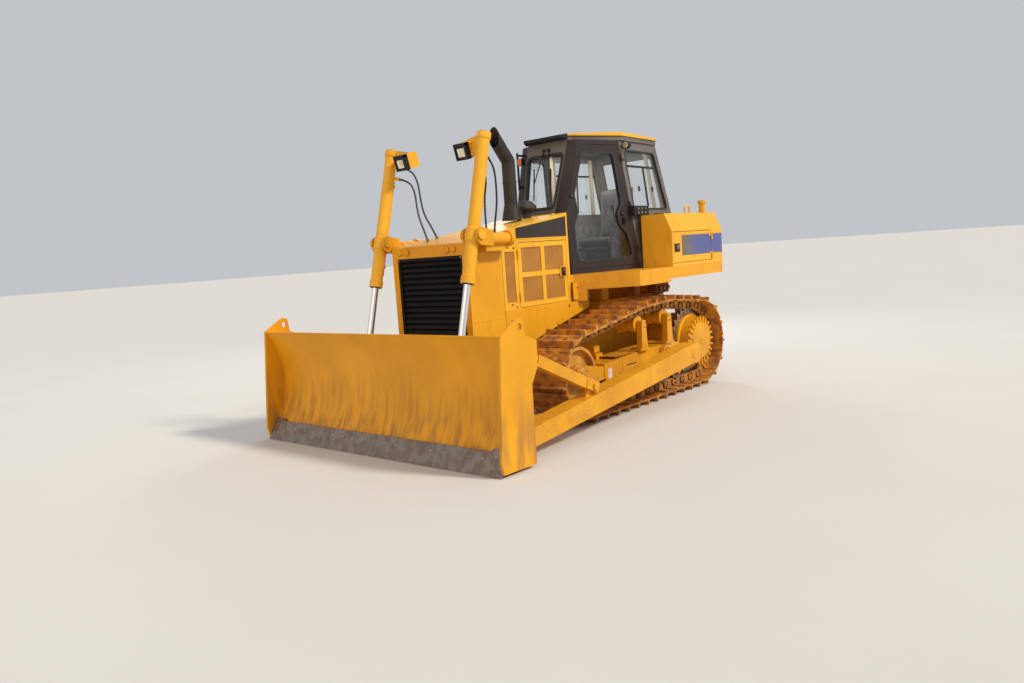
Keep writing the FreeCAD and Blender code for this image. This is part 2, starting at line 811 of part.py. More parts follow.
def cab_walls():
    return cab_body(0, cab_floor_z, cab_roof_z).cut(cab_body(cab_wall, cab_floor_z + 30, cab_roof_z + 1))


door_outline = ((528, 1562, 20), (1556, 1562, 20), (1588, 2195, 60), (1350, 2985, 30), (728, 2985, 30))
door_window = ((612, 1650, 60), (1478, 1650, 70), (1490, 2060, 60), (1420, 2200, 70), (1450, 2420, 60),
               (1290, 2890, 60), (820, 2890, 60), (745, 2300, 80), (820, 2180, 70), (790, 2040, 70),
               (690, 1940, 70))
side_window = ((-395, 2235, 30), (505, 2235, 30), (600, 2930, 40), (-165, 2930, 40))


def grown(outline, amount):
    # outline moved outwards by the amount, its corners kept
    rows = [c if len(c) == 3 else (c[0], c[1], 0.0) for c in outline]
    moved = []
    for i, (u, v, r) in enumerate(rows):
        p = rows[i - 1]
        n = rows[(i + 1) % len(rows)]
        x, z = inset_corner(p[:2], (u, v), n[:2], -amount)
        moved.append((x, z, max(r + amount, 0)))
    return moved


def cab_cuts(outline, amount=0.0):
    return side_plate(grown(outline, amount), 150, 900)


def windscreen_cut(inset):
    return cross_plate(((-200 + inset, 2290 + inset, 40), (200 - inset, 2290 + inset, 40),
                        (246 - inset, 2890 - inset, 40), (-246 + inset, 2890 - inset, 40)), 1100, 1900)


def rear_window_cut(inset):
    return cross_plate(((-400 + inset, 2250 + inset, 40), (400 - inset, 2250 + inset, 40),
                        (380 - inset, 2900 - inset, 40), (-380 + inset, 2900 - inset, 40)), -900, -100)


def cab_hinge_line():
    # the axis follows the door's slanted rear edge, outside its face
    low = V(522, door_y(522, 1562) + hinge_offset + 2, 1562)
    high = V(722, door_y(722, 2985) + hinge_offset + 2, 2985)
    return low, (high - low).normalize()


def cab_hinges():
    low, along = cab_hinge_line()
    forward = V(1, -door_plane_slope, 0)
    toward = (forward - along * forward.dot(along)).normalize()
    return [hinge(low + along * reach, along, toward, -1) for reach in (180, 720, 1290)]


def cab_shell():
    shell = cab_walls()
    for cut in both(cab_cuts(door_outline, door_gap)) + both(cab_cuts(side_window)):
        shell = shell.cut(cut)
    for fixed, moving in cab_hinges():
        for piece in both(fixed):
            shell = shell.fuse(piece)
    return shell.cut(windscreen_cut(0)).cut(rear_window_cut(0))


def cab_glass():
    pane = cab_body(16, cab_floor_z, cab_roof_z).cut(cab_body(24, cab_floor_z - 1, cab_roof_z + 1))
    solids = []
    for cut in both(cab_cuts(side_window, -seat_gap)):
        solids.append(pane.common(cut))
    solids.append(pane.common(windscreen_cut(seat_gap)))
    solids.append(pane.common(rear_window_cut(seat_gap)))
    return solids


def cab_door(side):
    door = cab_walls().common(cab_cuts(door_outline)).cut(cab_cuts(door_window))
    for fixed, moving in cab_hinges():
        door = door.fuse(moving)
    return door if side > 0 else mirrored(door)


def door_glass(side):
    pane = cab_body(16, cab_floor_z, cab_roof_z).cut(cab_body(24, cab_floor_z - 1, cab_roof_z + 1))
    pane = pane.common(cab_cuts(door_window, -seat_gap))
    return pane if side > 0 else mirrored(pane)


def cab_roof():
    # a plate over a slightly narrower rim
    z = cab_roof_z + seat_gap
    rim = 52.0
    # x, half width
    rows = ((1404, 305), (700, 590), (-270, 505))
    slabs = []
    for inset, low, high in ((14, z, z + rim + 1), (0, z + rim, z + 110)):
        half = [(x - inset if x > 0 else x + inset, y - inset) for x, y in rows]
        plan = half + [(x, -y) for x, y in reversed(half)]
        slabs.append(plan_plate([(x, y, 30) for x, y in plan], low, high))
    crown = ((1430, z), (1430, z + 74), (700, z + 95, 400), (-275, z + 80, 30), (-275, z))
    return slabs[0].fuse(slabs[1]).common(side_plate(crown, -700, 700)).removeSplitter()


def operator_seat():
    base = box(120, 520, -180, 180, cab_floor_z + 30 + seat_gap, cab_floor_z + 250)
    # x, height above the floor, corner radius
    rows = ((80, 250, 20), (600, 250, 20), (600, 380, 50), (120, 350, 20), (30, 1050, 60), (-90, 1050, 60))
    cushion = side_plate([(x, cab_floor_z + height, radius) for x, height, radius in rows], -240, 240)
    return base.fuse(cushion).removeSplitter()


def control_console():
    low = cab_floor_z + 30 + seat_gap
    dash = side_plate(((1270, low), (1500, low), (1520, 2240, 40), (1330, 2280, 60)), -220, 220)
    return [dash] + both(box(60, 640, 300, 420, low, 2080))


def front_post_x(y, z):
    # x of the slanted face beside the windscreen, above the waist
    low, high = cab_levels[1:]
    share = (z - low[0]) / (high[0] - low[0])
    front_x, front_half, corner_x = (a + share * (b - a) for a, b in zip(low[1:4], high[1:4]))
    across_share = (abs(y) - front_half) / (door_y(corner_x, z) - front_half)
    return front_x + across_share * (corner_x - front_x)


def cab_fittings():
    solids = []
    # work lamps at the door pillars
    for sign in (-1, 1):
        wall = rear_y(640, 2975) + seat_gap
        lamp = Part.makeCylinder(45, 60, V(600, sign * (wall + 60), 2985), V(1, 0, 0))
        y0, y1 = sorted((sign * wall, sign * (wall + 60)))
        bracket = box(610, 640, y0, y1, 2975, 2995)
        solids.append(lamp.fuse(bracket))
    # junction box on the left rear side, below the sliding window
    wall = rear_y(10, 2060) + seat_gap
    solids.append(box(-130, 10, wall, wall + 60, 2060, 2170))
    # rail with a marker lamp ahead of the right front post
    x = 1562.0
    y = -322.0
    rail = Part.makeCylinder(13, 440, V(x, y, 2530))
    for z in (2560, 2930):
        face = front_post_x(abs(y) - 11, z) + seat_gap
        rail = rail.fuse(box(face, x, y - 11, y + 11, z, z + 22))
    lamp = box(x - 40, x + 20, y + 4, y + 78, 2820, 2900)
    solids.append(rail.fuse(lamp))
    return solids


# Platforms and tank boxes

def platform():
    low = platform_top - platform_depth
    rear = tank_rear + 10
    front = hood_rear_x - seat_gap
    half = ((front, 440), (1640, 452), (platform_front_x, platform_outer_y), (rear, platform_outer_y))
    plan = list(half) + [(x, -y) for x, y in reversed(half)]
    shape = plan_plate(plan, low, platform_top)
    sides = side_plate(((platform_front_x, 1330), (platform_front_x, low + 1), (rear, low + 1),
                        (rear, 1365), (600, 1365), (500, 1330)), platform_outer_y - 30, platform_outer_y)
    leg = plan_plate(((1640, 452), (1560, 576), (1535, 560), (1590, hull_half_width + 1),
                      (1640, hull_half_width + 1)), bay_sill_z, low + 1)
    beam = plan_plate(((1640, 452), (platform_front_x, platform_outer_y),
                       (platform_front_x - 30, platform_outer_y - 22), (1610, 440)), 1330, low + 1)
    for piece in both(sides.fuse(leg).fuse(beam)):
        shape = shape.fuse(piece)
    # seats on the hull's rear case
    for x in (-250, 850):
        shape = shape.fuse(box(x, x + 150, -380, 380, hull_top + seat_gap, low + 1))
    return shape.removeSplitter()


def tank_outline(inset):
    return ((box_inner_y + inset, box_bottom + inset), (platform_outer_y - inset, box_bottom + inset),
            (platform_outer_y - inset, box_chamfer_z - 0.4 * inset),
            (platform_outer_y - 95 - 0.6 * inset, box_top - inset), (box_inner_y + inset, box_top - inset))


def box_hinges():
    x = box_door_rear - door_gap / 2
    y = platform_outer_y + hinge_offset
    return [hinge(V(x, y, z), V(0, 0, 1), V(1, 0, 0), -1) for z in (1600, 1840)]


def box_door_slab(grown_by, proud):
    return box(box_door_rear - grown_by, box_door_front + grown_by, platform_outer_y - box_wall - proud,
               platform_outer_y + proud, platform_top + 40 - grown_by, box_chamfer_z - 14 + grown_by)


def side_box():
    shell = cross_plate(tank_outline(0), tank_rear, box_front_x)
    shell = shell.cut(box(-3000, 3000, 0, 2000, 0, platform_top + seat_gap))
    inner = cross_plate(tank_outline(box_wall), tank_rear + 260, box_front_x - box_wall)
    inner = inner.cut(box(-3000, 3000, 0, 2000, 0, platform_top + box_wall))
    shell = shell.cut(inner)
    shell = shell.cut(box_door_slab(door_gap, 1))
    for fixed, moving in box_hinges():
        shell = shell.fuse(fixed)
    return shell.removeSplitter()


def filler_neck():
    foot = V(tank_rear + 155, lid_y, box_top + seat_gap)
    neck = Part.makeCylinder(42, 125, foot)
    flange = Part.makeCylinder(66, 12, foot)
    cap = Part.makeCylinder(54, 42, foot + V(0, 0, 122))
    return neck.fuse(flange).fuse(cap)


def pipe(points, radius):
    # straight runs joined by arcs that touch both neighbours; also the arcs' radii
    edges = []
    radii = []
    start = points[0]
    for before, corner, after in zip(points, points[1:], points[2:]):
        back = (before - corner).normalize()
        ahead = (after - corner).normalize()
        half_turn = (math.pi - back.getAngle(ahead)) / 2
        reach = 0.45 * min((before - corner).Length, (after - corner).Length)
        bend = reach / math.tan(half_turn)
        radii.append(round(bend))
        inner = (back + ahead).normalize()
        middle = corner + inner * (math.hypot(bend, reach) - bend)
        first = corner + back * reach
        last = corner + ahead * reach
        edges.append(Part.LineSegment(start, first).toShape())
        edges.append(Part.Arc(first, middle, last).toShape())
        start = last
    edges.append(Part.LineSegment(start, points[-1]).toShape())
    ring = Part.Wire(Part.makeCircle(radius, points[0], points[1] - points[0]))
    return Part.Wire(edges).makePipeShell([ring], True, False), radii


def grab_handle():
    # hoop on the left box's lid
    low = box_top + seat_gap
    rows = ((-300, low), (-300, low + 96), (-180, low + 96), (-180, low))
    hoop, radii = pipe([V(x, lid_y, z) for x, z in rows], 11)
    return hoop


def box_door(side):
    x = box_door_front - 62
    door = box_door_slab(0, 0).fuse(box(x, x + 40, platform_outer_y - 1, platform_outer_y + 6, 1680, 1770))
    for fixed, moving in box_hinges():
        door = door.fuse(moving)
    return door if side > 0 else mirrored(door)


def rear_tank():
    half = box_inner_y - seat_gap
    low = platform_top + seat_gap
    return side_plate(((tank_rear, low, 30), (tank_rear, box_top, 60), (tank_front, box_top, 20),
                       (tank_front, low)), -half, half)


def drawbar():
    hull = hull_rear_x - seat_gap
    end = tank_rear + 12
    plate = plan_plate(((hull, -130), (drawbar_x, -130, 60), (end, -60, 50), (end, 60, 50),
                        (drawbar_x, 130, 60), (hull, 130)), drawbar_low, drawbar_high)
    return plate.cut(Part.makeCylinder(drawbar_pin, 200, V(drawbar_x, 0, drawbar_low - 40)))


# Blade, arms and lift linkage

def push_arms():
    pivot_bore = trunnion_radius + 0.8
    slope = (arm_front_z - arm_pivot_z) / (arm_front_x - arm_pivot_x)
    rear_half = 108.0
    front_half = 84.0
    x = arm_pivot_x
    z = arm_pivot_z
    outline = ((x - 125, z + rear_half, 70), (x - 125, z - rear_half, 70), (x + 60, z - rear_half - 4),
               (arm_front_x, arm_front_z - front_half), (arm_front_x, arm_front_z + front_half),
               (x + 60, z + rear_half))
    arm = side_plate(outline, arm_inner_y, arm_outer_y)
    arm = arm.cut(across(arm_pivot_x, arm_pivot_z, pivot_bore, arm_inner_y - 1, arm_inner_y + 126))
    # lug for the brace's fork
    x = brace_rear_x
    z = brace_rear_z
    top = arm_pivot_z + slope * (x - arm_pivot_x) + 60
    lug = side_plate(((x - 110, top), (x - 50, z + 50, 45), (x + 50, z + 50, 45), (x + 120, top)),
                     brace_y - 22, brace_y + 22)
    lug = lug.cut(across(x, z, lug_pin + seat_gap, brace_y - 30, brace_y + 30))
    arm = arm.fuse(lug)
    # horizontal diagonal strut to the blade's lower back
    strut = plan_plate(((arm_front_x - 990, arm_inner_y + 1), (arm_front_x - 790, arm_inner_y + 1),
                        (arm_front_x, arm_inner_y - 530), (arm_front_x, arm_inner_y - 640)), 200, 270)
    arm = arm.fuse(strut).removeSplitter()
    return both(arm)


def strut_frame():
    dx = brace_front_x - brace_rear_x
    dz = brace_front_z - brace_rear_z
    return math.hypot(dx, dz), math.degrees(math.atan2(dz, dx))


def strut_ends(length):
    # fork over the arm's lug, eye between the blade's lugs; both bored for their pins
    half = lug_gap - seat_gap
    fork = box(-60, 130, -64, 64, -50, 50).cut(box(-80, 70, -22 - seat_gap, 22 + seat_gap, -60, 60))
    eye = Part.makeCylinder(66, 2 * half, V(length, -half, 0), V(0, 1, 0))
    eye = eye.cut(Part.makeCylinder(lug_pin + seat_gap, 200, V(length, -100, 0), V(0, 1, 0)))
    pin = Part.makeCylinder(lug_pin, 150, V(0, -75, 0), V(0, 1, 0))
    return fork.fuse(pin).fuse(eye)


def blade_brace():
    length, tilt = strut_frame()
    beam = box(90, length - 85, -52, 52, -52, 52)
    neck = box(length - 120, length - 40, -30, 30, -32, 32)
    shape = beam.fuse(neck).fuse(strut_ends(length))
    shape.rotate(V(0, 0, 0), V(0, 1, 0), -tilt)
    shape.translate(V(brace_rear_x, brace_y, brace_rear_z))
    return shape.removeSplitter()


def tilt_cylinder():
    length, tilt = strut_frame()
    barrel = Part.makeCylinder(70, 560, V(130, 0, 0), V(1, 0, 0))
    rod = Part.makeCylinder(32, length - 720, V(680, 0, 0), V(1, 0, 0))
    head = Part.makeCylinder(78, 60, V(640, 0, 0), V(1, 0, 0))
    shape = barrel.fuse(rod).fuse(head).fuse(strut_ends(length))
    shape.rotate(V(0, 0, 0), V(0, 1, 0), -tilt)
    shape.translate(V(brace_rear_x, -brace_y, brace_rear_z))
    return shape.removeSplitter()


def edge_back_x(z):
    return edge_tip_x - edge_thickness / math.cos(edge_lean) - z * math.tan(edge_lean)


def mould_points():
    # front face: straight behind the cutting edge, then one arc to the top edge
    foot = (edge_back_x(mould_bottom_z) - seat_gap, mould_bottom_z)
    bend = (edge_back_x(mould_bend_z) - seat_gap, mould_bend_z)
    top = (mould_top_x, blade_height)
    deep = ((bend[0] + top[0]) / 2 - mould_depth, (bend[1] + top[1]) / 2 + 5)
    return foot, bend, deep, top


def mould_x(z):
    # x of the middle of the mouldboard's thickness at a height
    foot, bend, deep, top = mould_points()
    if z < bend[1]:
        return edge_back_x(z) - mould_thickness / 2
    arc = Part.Arc(*(V(x, 0, h) for x, h in (bend, deep, top))).toShape().Curve
    rise = z - arc.Center.z
    return arc.Center.x - math.sqrt(arc.Radius ** 2 - rise ** 2) - mould_thickness / 2


def behind_mould(z_top, z_bottom, rows, y0, y1):
    # plate or beam behind the mouldboard, its front edge inside the mouldboard's thickness
    steps = 4
    front = []
    for i in range(steps + 1):
        z = z_bottom + (z_top - z_bottom) * i / steps
        front.append((mould_x(z), z))
    return side_plate(list(front) + list(rows), y0, y1)


def blade():
    y = blade_half_width - end_plate
    foot, bend, deep, top = mould_points()
    t = mould_thickness
    face = [Part.LineSegment(V(foot[0], -y, foot[1]), V(bend[0], -y, bend[1])).toShape(),
            Part.Arc(*(V(x, -y, z) for x, z in (bend, deep, top))).toShape(),
            Part.LineSegment(V(top[0], -y, top[1]), V(top[0] - t, -y, top[1])).toShape(),
            Part.Arc(*(V(x - t, -y, z) for x, z in (top, deep, bend))).toShape(),
            Part.LineSegment(V(bend[0] - t, -y, bend[1]), V(foot[0] - t, -y, foot[1])).toShape(),
            Part.LineSegment(V(foot[0] - t, -y, foot[1]), V(foot[0], -y, foot[1])).toShape()]
    shape = Part.Face(Part.Wire(face)).extrude(V(0, 2 * y, 0))
    top_x = mould_top_x
    back_x = beam_back_x
    high = blade_height
    plate = side_plate(((edge_tip_x - 1, 128), (top_x, high), (top_x - 222, high + 126, 20),
                        (top_x - 284, high + 115, 20), (top_x - 300, high - 20),
                        (back_x - 78, high - 84, 15), (back_x - 68, high - 306), (back_x + 16, high - 440),
                        (back_x + 24, 30, 20), (edge_tip_x - 24, 30)), y, blade_half_width)
    plate = plate.cut(across(top_x - 240, high + 53, 30, y - 1, blade_half_width + 1))
    shape = shape.fuse(plate).fuse(mirrored(plate))
    # box beams along the back, upper and lower, and ribs between them
    upper = behind_mould(high - 62, high - 267, ((back_x, high - 62, 20), (back_x, high - 267, 20)), -y, y)
    lower = behind_mould(420, mould_bottom_z, ((back_x, 420, 20), (back_x, mould_bottom_z)), -y, y)
    shape = shape.fuse(upper).fuse(lower)
    for rib_y in (-1100, -560, 0, 560, 1100):
        rear = ((back_x + 40, high - 257), (back_x + 40, 410))
        shape = shape.fuse(behind_mould(high - 257, 410, rear, rib_y - 12, rib_y + 12))
    # eyes for the lift rods, brackets for the brace and tilt cylinder
    for sign in (-1, 1):
        for offset in (-1, 1):
            cy = sign * cylinder_y + offset * (rod_eye_gap + 14)
            ear = behind_mould(640, 410, ((rod_eye_x - 60, 600, 50), (rod_eye_x - 66, rod_eye_z - 40, 50),
                                          (rod_eye_x + 40, rod_eye_z - 90, 30)), cy - 14, cy + 14)
            shape = shape.fuse(ear)
            by = sign * brace_y + offset * (lug_gap + 14)
            x = brace_front_x
            z = brace_front_z
            lug_top = max(z + 125, high - 137)
            lug_foot = min(z, high - 262)
            lug = side_plate(((back_x + 10, lug_top), (x - 30, z + 62, 50), (x - 62, z - 30, 50),
                              (x + 30, z - 70, 30), (back_x + 10, lug_foot)), by - 14, by + 14)
            shape = shape.fuse(lug)
        pin = across(rod_eye_x, rod_eye_z, rod_pin, sign * cylinder_y - 84, sign * cylinder_y + 84)
        shape = shape.fuse(pin)
        pin = across(brace_front_x, brace_front_z, lug_pin, sign * brace_y - 78, sign * brace_y + 78)
        shape = shape.fuse(pin)
    return shape.removeSplitter()


def cutting_edge():
    # bolted edge in front of the mouldboard's foot, with a taller end bit each side
    slope = math.tan(edge_lean)
    bit_y = blade_half_width - bit_width

    def bar(height, extra, y0, y1):
        front = edge_tip_x + extra
        return side_plate(((front, 0), (front - height * slope, height),
                           (edge_back_x(height - 12), height - 12), (edge_back_x(0), 0)), y0, y1)

    middle = bar(edge_height, 0, -bit_y, bit_y)
    bit = bar(bit_height, bit_proud, bit_y + seat_gap, blade_half_width - end_plate - seat_gap)
    return [middle] + both(bit)


def lean():
    # lean of the lift cylinders, bottom forward, degrees
    return math.degrees(math.atan2(rod_eye_x - trunnion_x, trunnion_z - rod_eye_z))


def leaned(shape):
    # shape drawn along -Z from the trunnion, turned to the cylinder's lean
    shape.rotate(V(0, 0, 0), V(0, 1, 0), -lean())
    shape.translate(V(trunnion_x, cylinder_y, trunnion_z))
    return shape


def lift_barrel(side):
    length = barrel_above + barrel_below
    tube = Part.makeCylinder(barrel_radius, length, V(0, 0, -barrel_below))
    bore = Part.makeCylinder(barrel_bore, length - 22, V(0, 0, -barrel_below - 1))
    gland = Part.makeCylinder(barrel_radius + 8, 70, V(0, 0, -barrel_below))
    gland = gland.fuse(Part.makeCylinder(barrel_radius + 8, 60, V(0, 0, barrel_above - 60)))
    band = Part.makeCylinder(barrel_radius + 12, 120, V(0, 0, -60))
    pins = Part.makeCylinder(trunnion_pin, 2 * 118, V(0, -118, 0), V(0, 1, 0))
    shape = tube.fuse(gland).fuse(band).fuse(pins)
    # ports: height above the trunnion, distance behind and inboard of the axis
    for z, x, y in ((847.2, 84.4, 49.0), (712.8, 85.4, 67.0)):
        reach = math.hypot(x, y) - seat_gap
        shape = shape.fuse(Part.makeCylinder(17, reach, V(0, 0, z), V(-x, -y, 0)))
    shape = shape.cut(bore)
    shape = leaned(shape.removeSplitter())
    return shape if side > 0 else mirrored(shape)


def lift_rod(side):
    distance = math.hypot(rod_eye_x - trunnion_x, trunnion_z - rod_eye_z)
    rod = Part.makeCylinder(rod_radius, rod_length - 50, V(0, 0, 50 - distance), V(0, 0, 1))
    half = rod_eye_gap - seat_gap
    eye = Part.makeCylinder(rod_eye_radius, 2 * half, V(0, -half, -distance), V(0, 1, 0))
    bore = Part.makeCylinder(rod_eye_bore, 90, V(0, -45, -distance), V(0, 1, 0))
    shape = leaned(rod.fuse(eye).cut(bore).removeSplitter())
    return shape if side > 0 else mirrored(shape)


def cylinder_yokes():
    x = trunnion_x
    z = trunnion_z
    inner_y = cylinder_y - barrel_radius - 12 - running_gap
    outer_y = cylinder_y + barrel_radius + 12 + running_gap
    # ears either side of the barrel, each bored for a trunnion pin
    outline = ((x - 150, z - 110), (x + 20, z - 95, 60), (x + 62, z, 60), (x + 20, z + 80, 60),
               (x - 150, z + 40))
    shape = box(x - 170, x - 130, inner_y - 26, outer_y + 26, z - 110, z + 40)
    for y in (inner_y - 26, outer_y):
        shape = shape.fuse(side_plate(outline, y, y + 26))
    tube = Part.makeCylinder(60, 420, V(x - 131, cylinder_y, z - 45), V(-1, 0, 0))
    cap = Part.makeCylinder(78, 46, V(x - 480, cylinder_y, z - 45), V(-1, 0, 0))
    foot = box(x - 500, x - 170, guard_half_width + seat_gap, cylinder_y, z - 160, z - 60)
    shape = shape.fuse(tube).fuse(cap).fuse(foot)
    for y in (inner_y - 27, outer_y - 1):
        shape = shape.cut(across(x, z, trunnion_pin + seat_gap, y, y + 28))
    return both(shape.removeSplitter())


def work_lamp(side):
    # box lamp beside the cap, on a gusset with a sloping top plate
    centre = V(lamp_x, -lamp_inboard, barrel_above - lamp_drop)
    half = lamp_width / 2
    body = box(lamp_x - lamp_depth / 2, lamp_x + lamp_depth / 2, -lamp_inboard - half, -lamp_inboard + half,
               centre.z - lamp_height / 2, centre.z + lamp_height / 2)
    body.rotate(centre, V(0, 1, 0), lamp_pitch)
    inner = -barrel_radius - 8 - seat_gap
    outer = inner - lamp_inboard + 20
    top = barrel_above
    gusset = cross_plate(((inner, top), (outer, top - 45), (outer, top - 90), (inner - 82, top - 200),
                          (inner, top - 200)), -12, 0)
    flange = cross_plate(((inner, top), (outer, top - 45), (outer, top - 53), (inner, top - 8)), -60, 0)
    shape = leaned(body.fuse(gusset).fuse(flange).removeSplitter())
    return shape if side > 0 else mirrored(shape)


# Hoses of the lift cylinders
# name, side, points from the port on the barrel to the hood: x, y, z from the cylinder's trunnion
hose_routes = (
    ("hose_left_1", 1, (
        (-302, -49, 796), (-406.4, -111.8, 767.8), (-493.5, -111.8, 658.2),
        (-506, -111, 476), (-518, -131, 296), (-553, -201, 146), (-563, -231, 28))),
    ("hose_left_2", 1, (
        (-268, -67, 666), (-347.8, -131.8, 644.5), (-419.9, -158, 539.6),
        (-406, -191, 376), (-406, -196, 206), (-402, -191, 86), (-400, -189, 2))),
    ("hose_right_1", -1, (
        (-302, -49, 796), (-406.4, -111.8, 767.8), (-462.3, -174.7, 655.9),
        (-438, -231, 486), (-428, -271, 306), (-468, -321, 156), (-493, -346, 16))),
    ("hose_right_2", -1, (
        (-268, -67, 666), (-347.8, -131.8, 644.5), (-387.2, -197.5, 539.4),
        (-368, -241, 376), (-348, -291, 236), (-338, -341, 106), (-336, -361, -7))),
)


def hose(name, side, route):
    points = [V(trunnion_x + x, side * (cylinder_y + y), trunnion_z + z) for x, y, z in route]
    shape, radii = pipe(points, hose_radius)
    print(name, "bend radii", radii)
    return shape


os.makedirs("parts", exist_ok=True)

save("main_frame", main_frame())
save("equalizer_bar", equalizer_bar())
save("radiator_guard", radiator_guard())
save("radiator_grille", radiator_grille())
save("hood", hood())
save("engine_block", engine_block())
save("engine_side_frames", *engine_side_frames())
save("hull_side_panels", *hull_side_panels())
save("exhaust_stack", exhaust_stack())
save("precleaner", precleaner())
save("platform", platform())
save("cab_shell", cab_shell())
save("cab_roof", cab_roof())
save("cab_glass", *cab_glass())
save("operator_seat", operator_seat())
save("control_console", *control_console())
save("cab_fittings", *cab_fittings())
save("rear_tank", rear_tank())
save("side_boxes", *both(side_box()))
save("tank_fittings", filler_neck(), grab_handle())
save("drawbar", drawbar())
save("sprockets", *both(sprocket()))
save("final_drives", *both(final_drive()))
save("idlers", *both(idler()))
save("idler_yokes", *both(idler_yoke()))
save("track_rollers", *track_rollers())
save("carrier_rollers", *carrier_rollers())
save("cylinder_yokes", *cylinder_yokes())
save("push_arms", *push_arms())
save("blade", blade())
save("cutting_edge", *cutting_edge())
save("blade_brace", blade_brace())
save("tilt_cylinder", tilt_cylinder())

for name, side, route in hose_routes:
    save(name, hose(name, side, route))

for suffix, side in (("left", 1), ("right", -1)):
    save("track_" + suffix, track(side))
    save("track_frame_" + suffix, track_frame(side))
    save("engine_door_" + suffix, engine_door(side))
    save("cab_door_" + suffix, cab_door(side))
    save("door_glass_" + suffix, door_glass(side))
    save("box_door_" + suffix, box_door(side))
    save("lift_barrel_" + suffix, lift_barrel(side))
    save("lift_rod_" + suffix, lift_rod(side))
    save("work_lamp_" + suffix, work_lamp(side))

print("cab door hinge axis", *cab_hinge_line())
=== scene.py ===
# %% [markdown]
# A crawler dozer with a straight blade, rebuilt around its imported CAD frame.
# The frame gives the solids and their bodies. This script rounds their edges, gives them
# paint, steel, rubber and glass, and adds the small parts that make the machine look real.

# %% Load the frame
import bpy
import bmesh
import json
from math import acos, atan2, cos, hypot, pi, radians, sin, sqrt
from mathutils import Matrix, Vector


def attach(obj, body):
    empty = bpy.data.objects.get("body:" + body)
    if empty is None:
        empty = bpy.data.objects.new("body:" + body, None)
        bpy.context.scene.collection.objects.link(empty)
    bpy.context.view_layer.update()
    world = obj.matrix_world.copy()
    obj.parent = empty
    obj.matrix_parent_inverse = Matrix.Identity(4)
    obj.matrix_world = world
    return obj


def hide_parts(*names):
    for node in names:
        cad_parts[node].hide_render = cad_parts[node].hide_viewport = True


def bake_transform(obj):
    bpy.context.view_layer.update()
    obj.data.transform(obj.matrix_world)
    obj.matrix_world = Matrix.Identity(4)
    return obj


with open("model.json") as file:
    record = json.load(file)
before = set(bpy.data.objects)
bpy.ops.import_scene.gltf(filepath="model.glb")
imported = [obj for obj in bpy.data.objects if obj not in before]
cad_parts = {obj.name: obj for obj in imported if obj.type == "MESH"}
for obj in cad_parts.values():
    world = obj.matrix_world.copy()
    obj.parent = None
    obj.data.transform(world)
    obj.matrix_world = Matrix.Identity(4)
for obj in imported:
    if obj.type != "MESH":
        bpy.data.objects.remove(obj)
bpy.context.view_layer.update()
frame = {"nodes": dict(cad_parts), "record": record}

# %% [markdown]
# The drawings of the machine count X from the sprocket's axis, in millimetres, and the frame
# counts it from the middle of the machine, in metres. One helper turns the first into the
# second, so that every number below can be set beside the drawing.

# %% Drawing millimetres to frame metres
ORIGIN_X = 1810.0


def mm(x, y, z):
    return Vector(((x - ORIGIN_X) / 1000, y / 1000, z / 1000))


print("sprocket axis at", mm(0, 0, 559))

# %% [markdown]
# The camera stands where the photograph was taken, low and ahead of the machine's left side.
# It is placed by its look and up directions, which fix its turn without any angles.

# %% Camera
IMAGE_WIDTH = 1024
FOCAL_PIXELS = 810.0
camera_data = bpy.data.cameras.new("photo_camera")
camera_data.sensor_width = 36.0
camera_data.lens = FOCAL_PIXELS * camera_data.sensor_width / IMAGE_WIDTH
camera = bpy.data.objects.new("photo_camera", camera_data)
look = Vector((-0.74544, -0.65760, -0.10901)).normalized()
right = look.cross(Vector((-0.12815, -0.01911, 0.99157))).normalized()
up = right.cross(look)
turn = Matrix((right, up, -look)).transposed()
camera.matrix_world = Matrix.Translation((7.251, 6.003, 1.806)) @ turn.to_4x4()
bpy.context.collection.objects.link(camera)
bpy.context.scene.camera = camera
print("lens", round(camera_data.lens, 2), "mm")

# %% [markdown]
# Every finish is a small node tree. They share a few steps: a noise that breaks up the
# colour, a veil of dust that is thicker low down and on faces that look up, and a fine
# bump. The steps are helpers, and each finish below only says its own colours and sizes.

# %% Material helpers
def start_material(name):
    material = bpy.data.materials.new(name)
    material.use_nodes = True
    tree = material.node_tree
    shader = tree.nodes["Principled BSDF"]
    place = tree.nodes.new("ShaderNodeTexCoord").outputs["Object"]
    return material, tree, shader, place


def set_sockets(shader, **values):
    for name, value in values.items():
        socket = shader.inputs[name.replace("_", " ")]
        socket.default_value = (*value, 1.0) if isinstance(value, tuple) else value


def noise(tree, place, scale, detail=3.0, stretch=(1, 1, 1)):
    mapping = tree.nodes.new("ShaderNodeMapping")
    mapping.inputs["Scale"].default_value = stretch
    tree.links.new(place, mapping.inputs["Vector"])
    node = tree.nodes.new("ShaderNodeTexNoise")
    node.inputs["Scale"].default_value = scale
    node.inputs["Detail"].default_value = detail
    tree.links.new(mapping.outputs["Vector"], node.inputs["Vector"])
    return node.outputs["Fac"]


def between(tree, value, low, high, to_low=0.0, to_high=1.0):
    node = tree.nodes.new("ShaderNodeMapRange")
    node.interpolation_type = "SMOOTHSTEP"
    node.inputs["From Min"].default_value = low
    node.inputs["From Max"].default_value = high
    node.inputs["To Min"].default_value = to_low
    node.inputs["To Max"].default_value = to_high
    tree.links.new(value, node.inputs["Value"])
    return node.outputs["Result"]


def math_node(tree, operation, a, b):
    node = tree.nodes.new("ShaderNodeMath")
    node.operation = operation
    for socket, value in zip(node.inputs, (a, b)):
        if isinstance(value, float):
            socket.default_value = value
        else:
            tree.links.new(value, socket)
    return node.outputs["Value"]


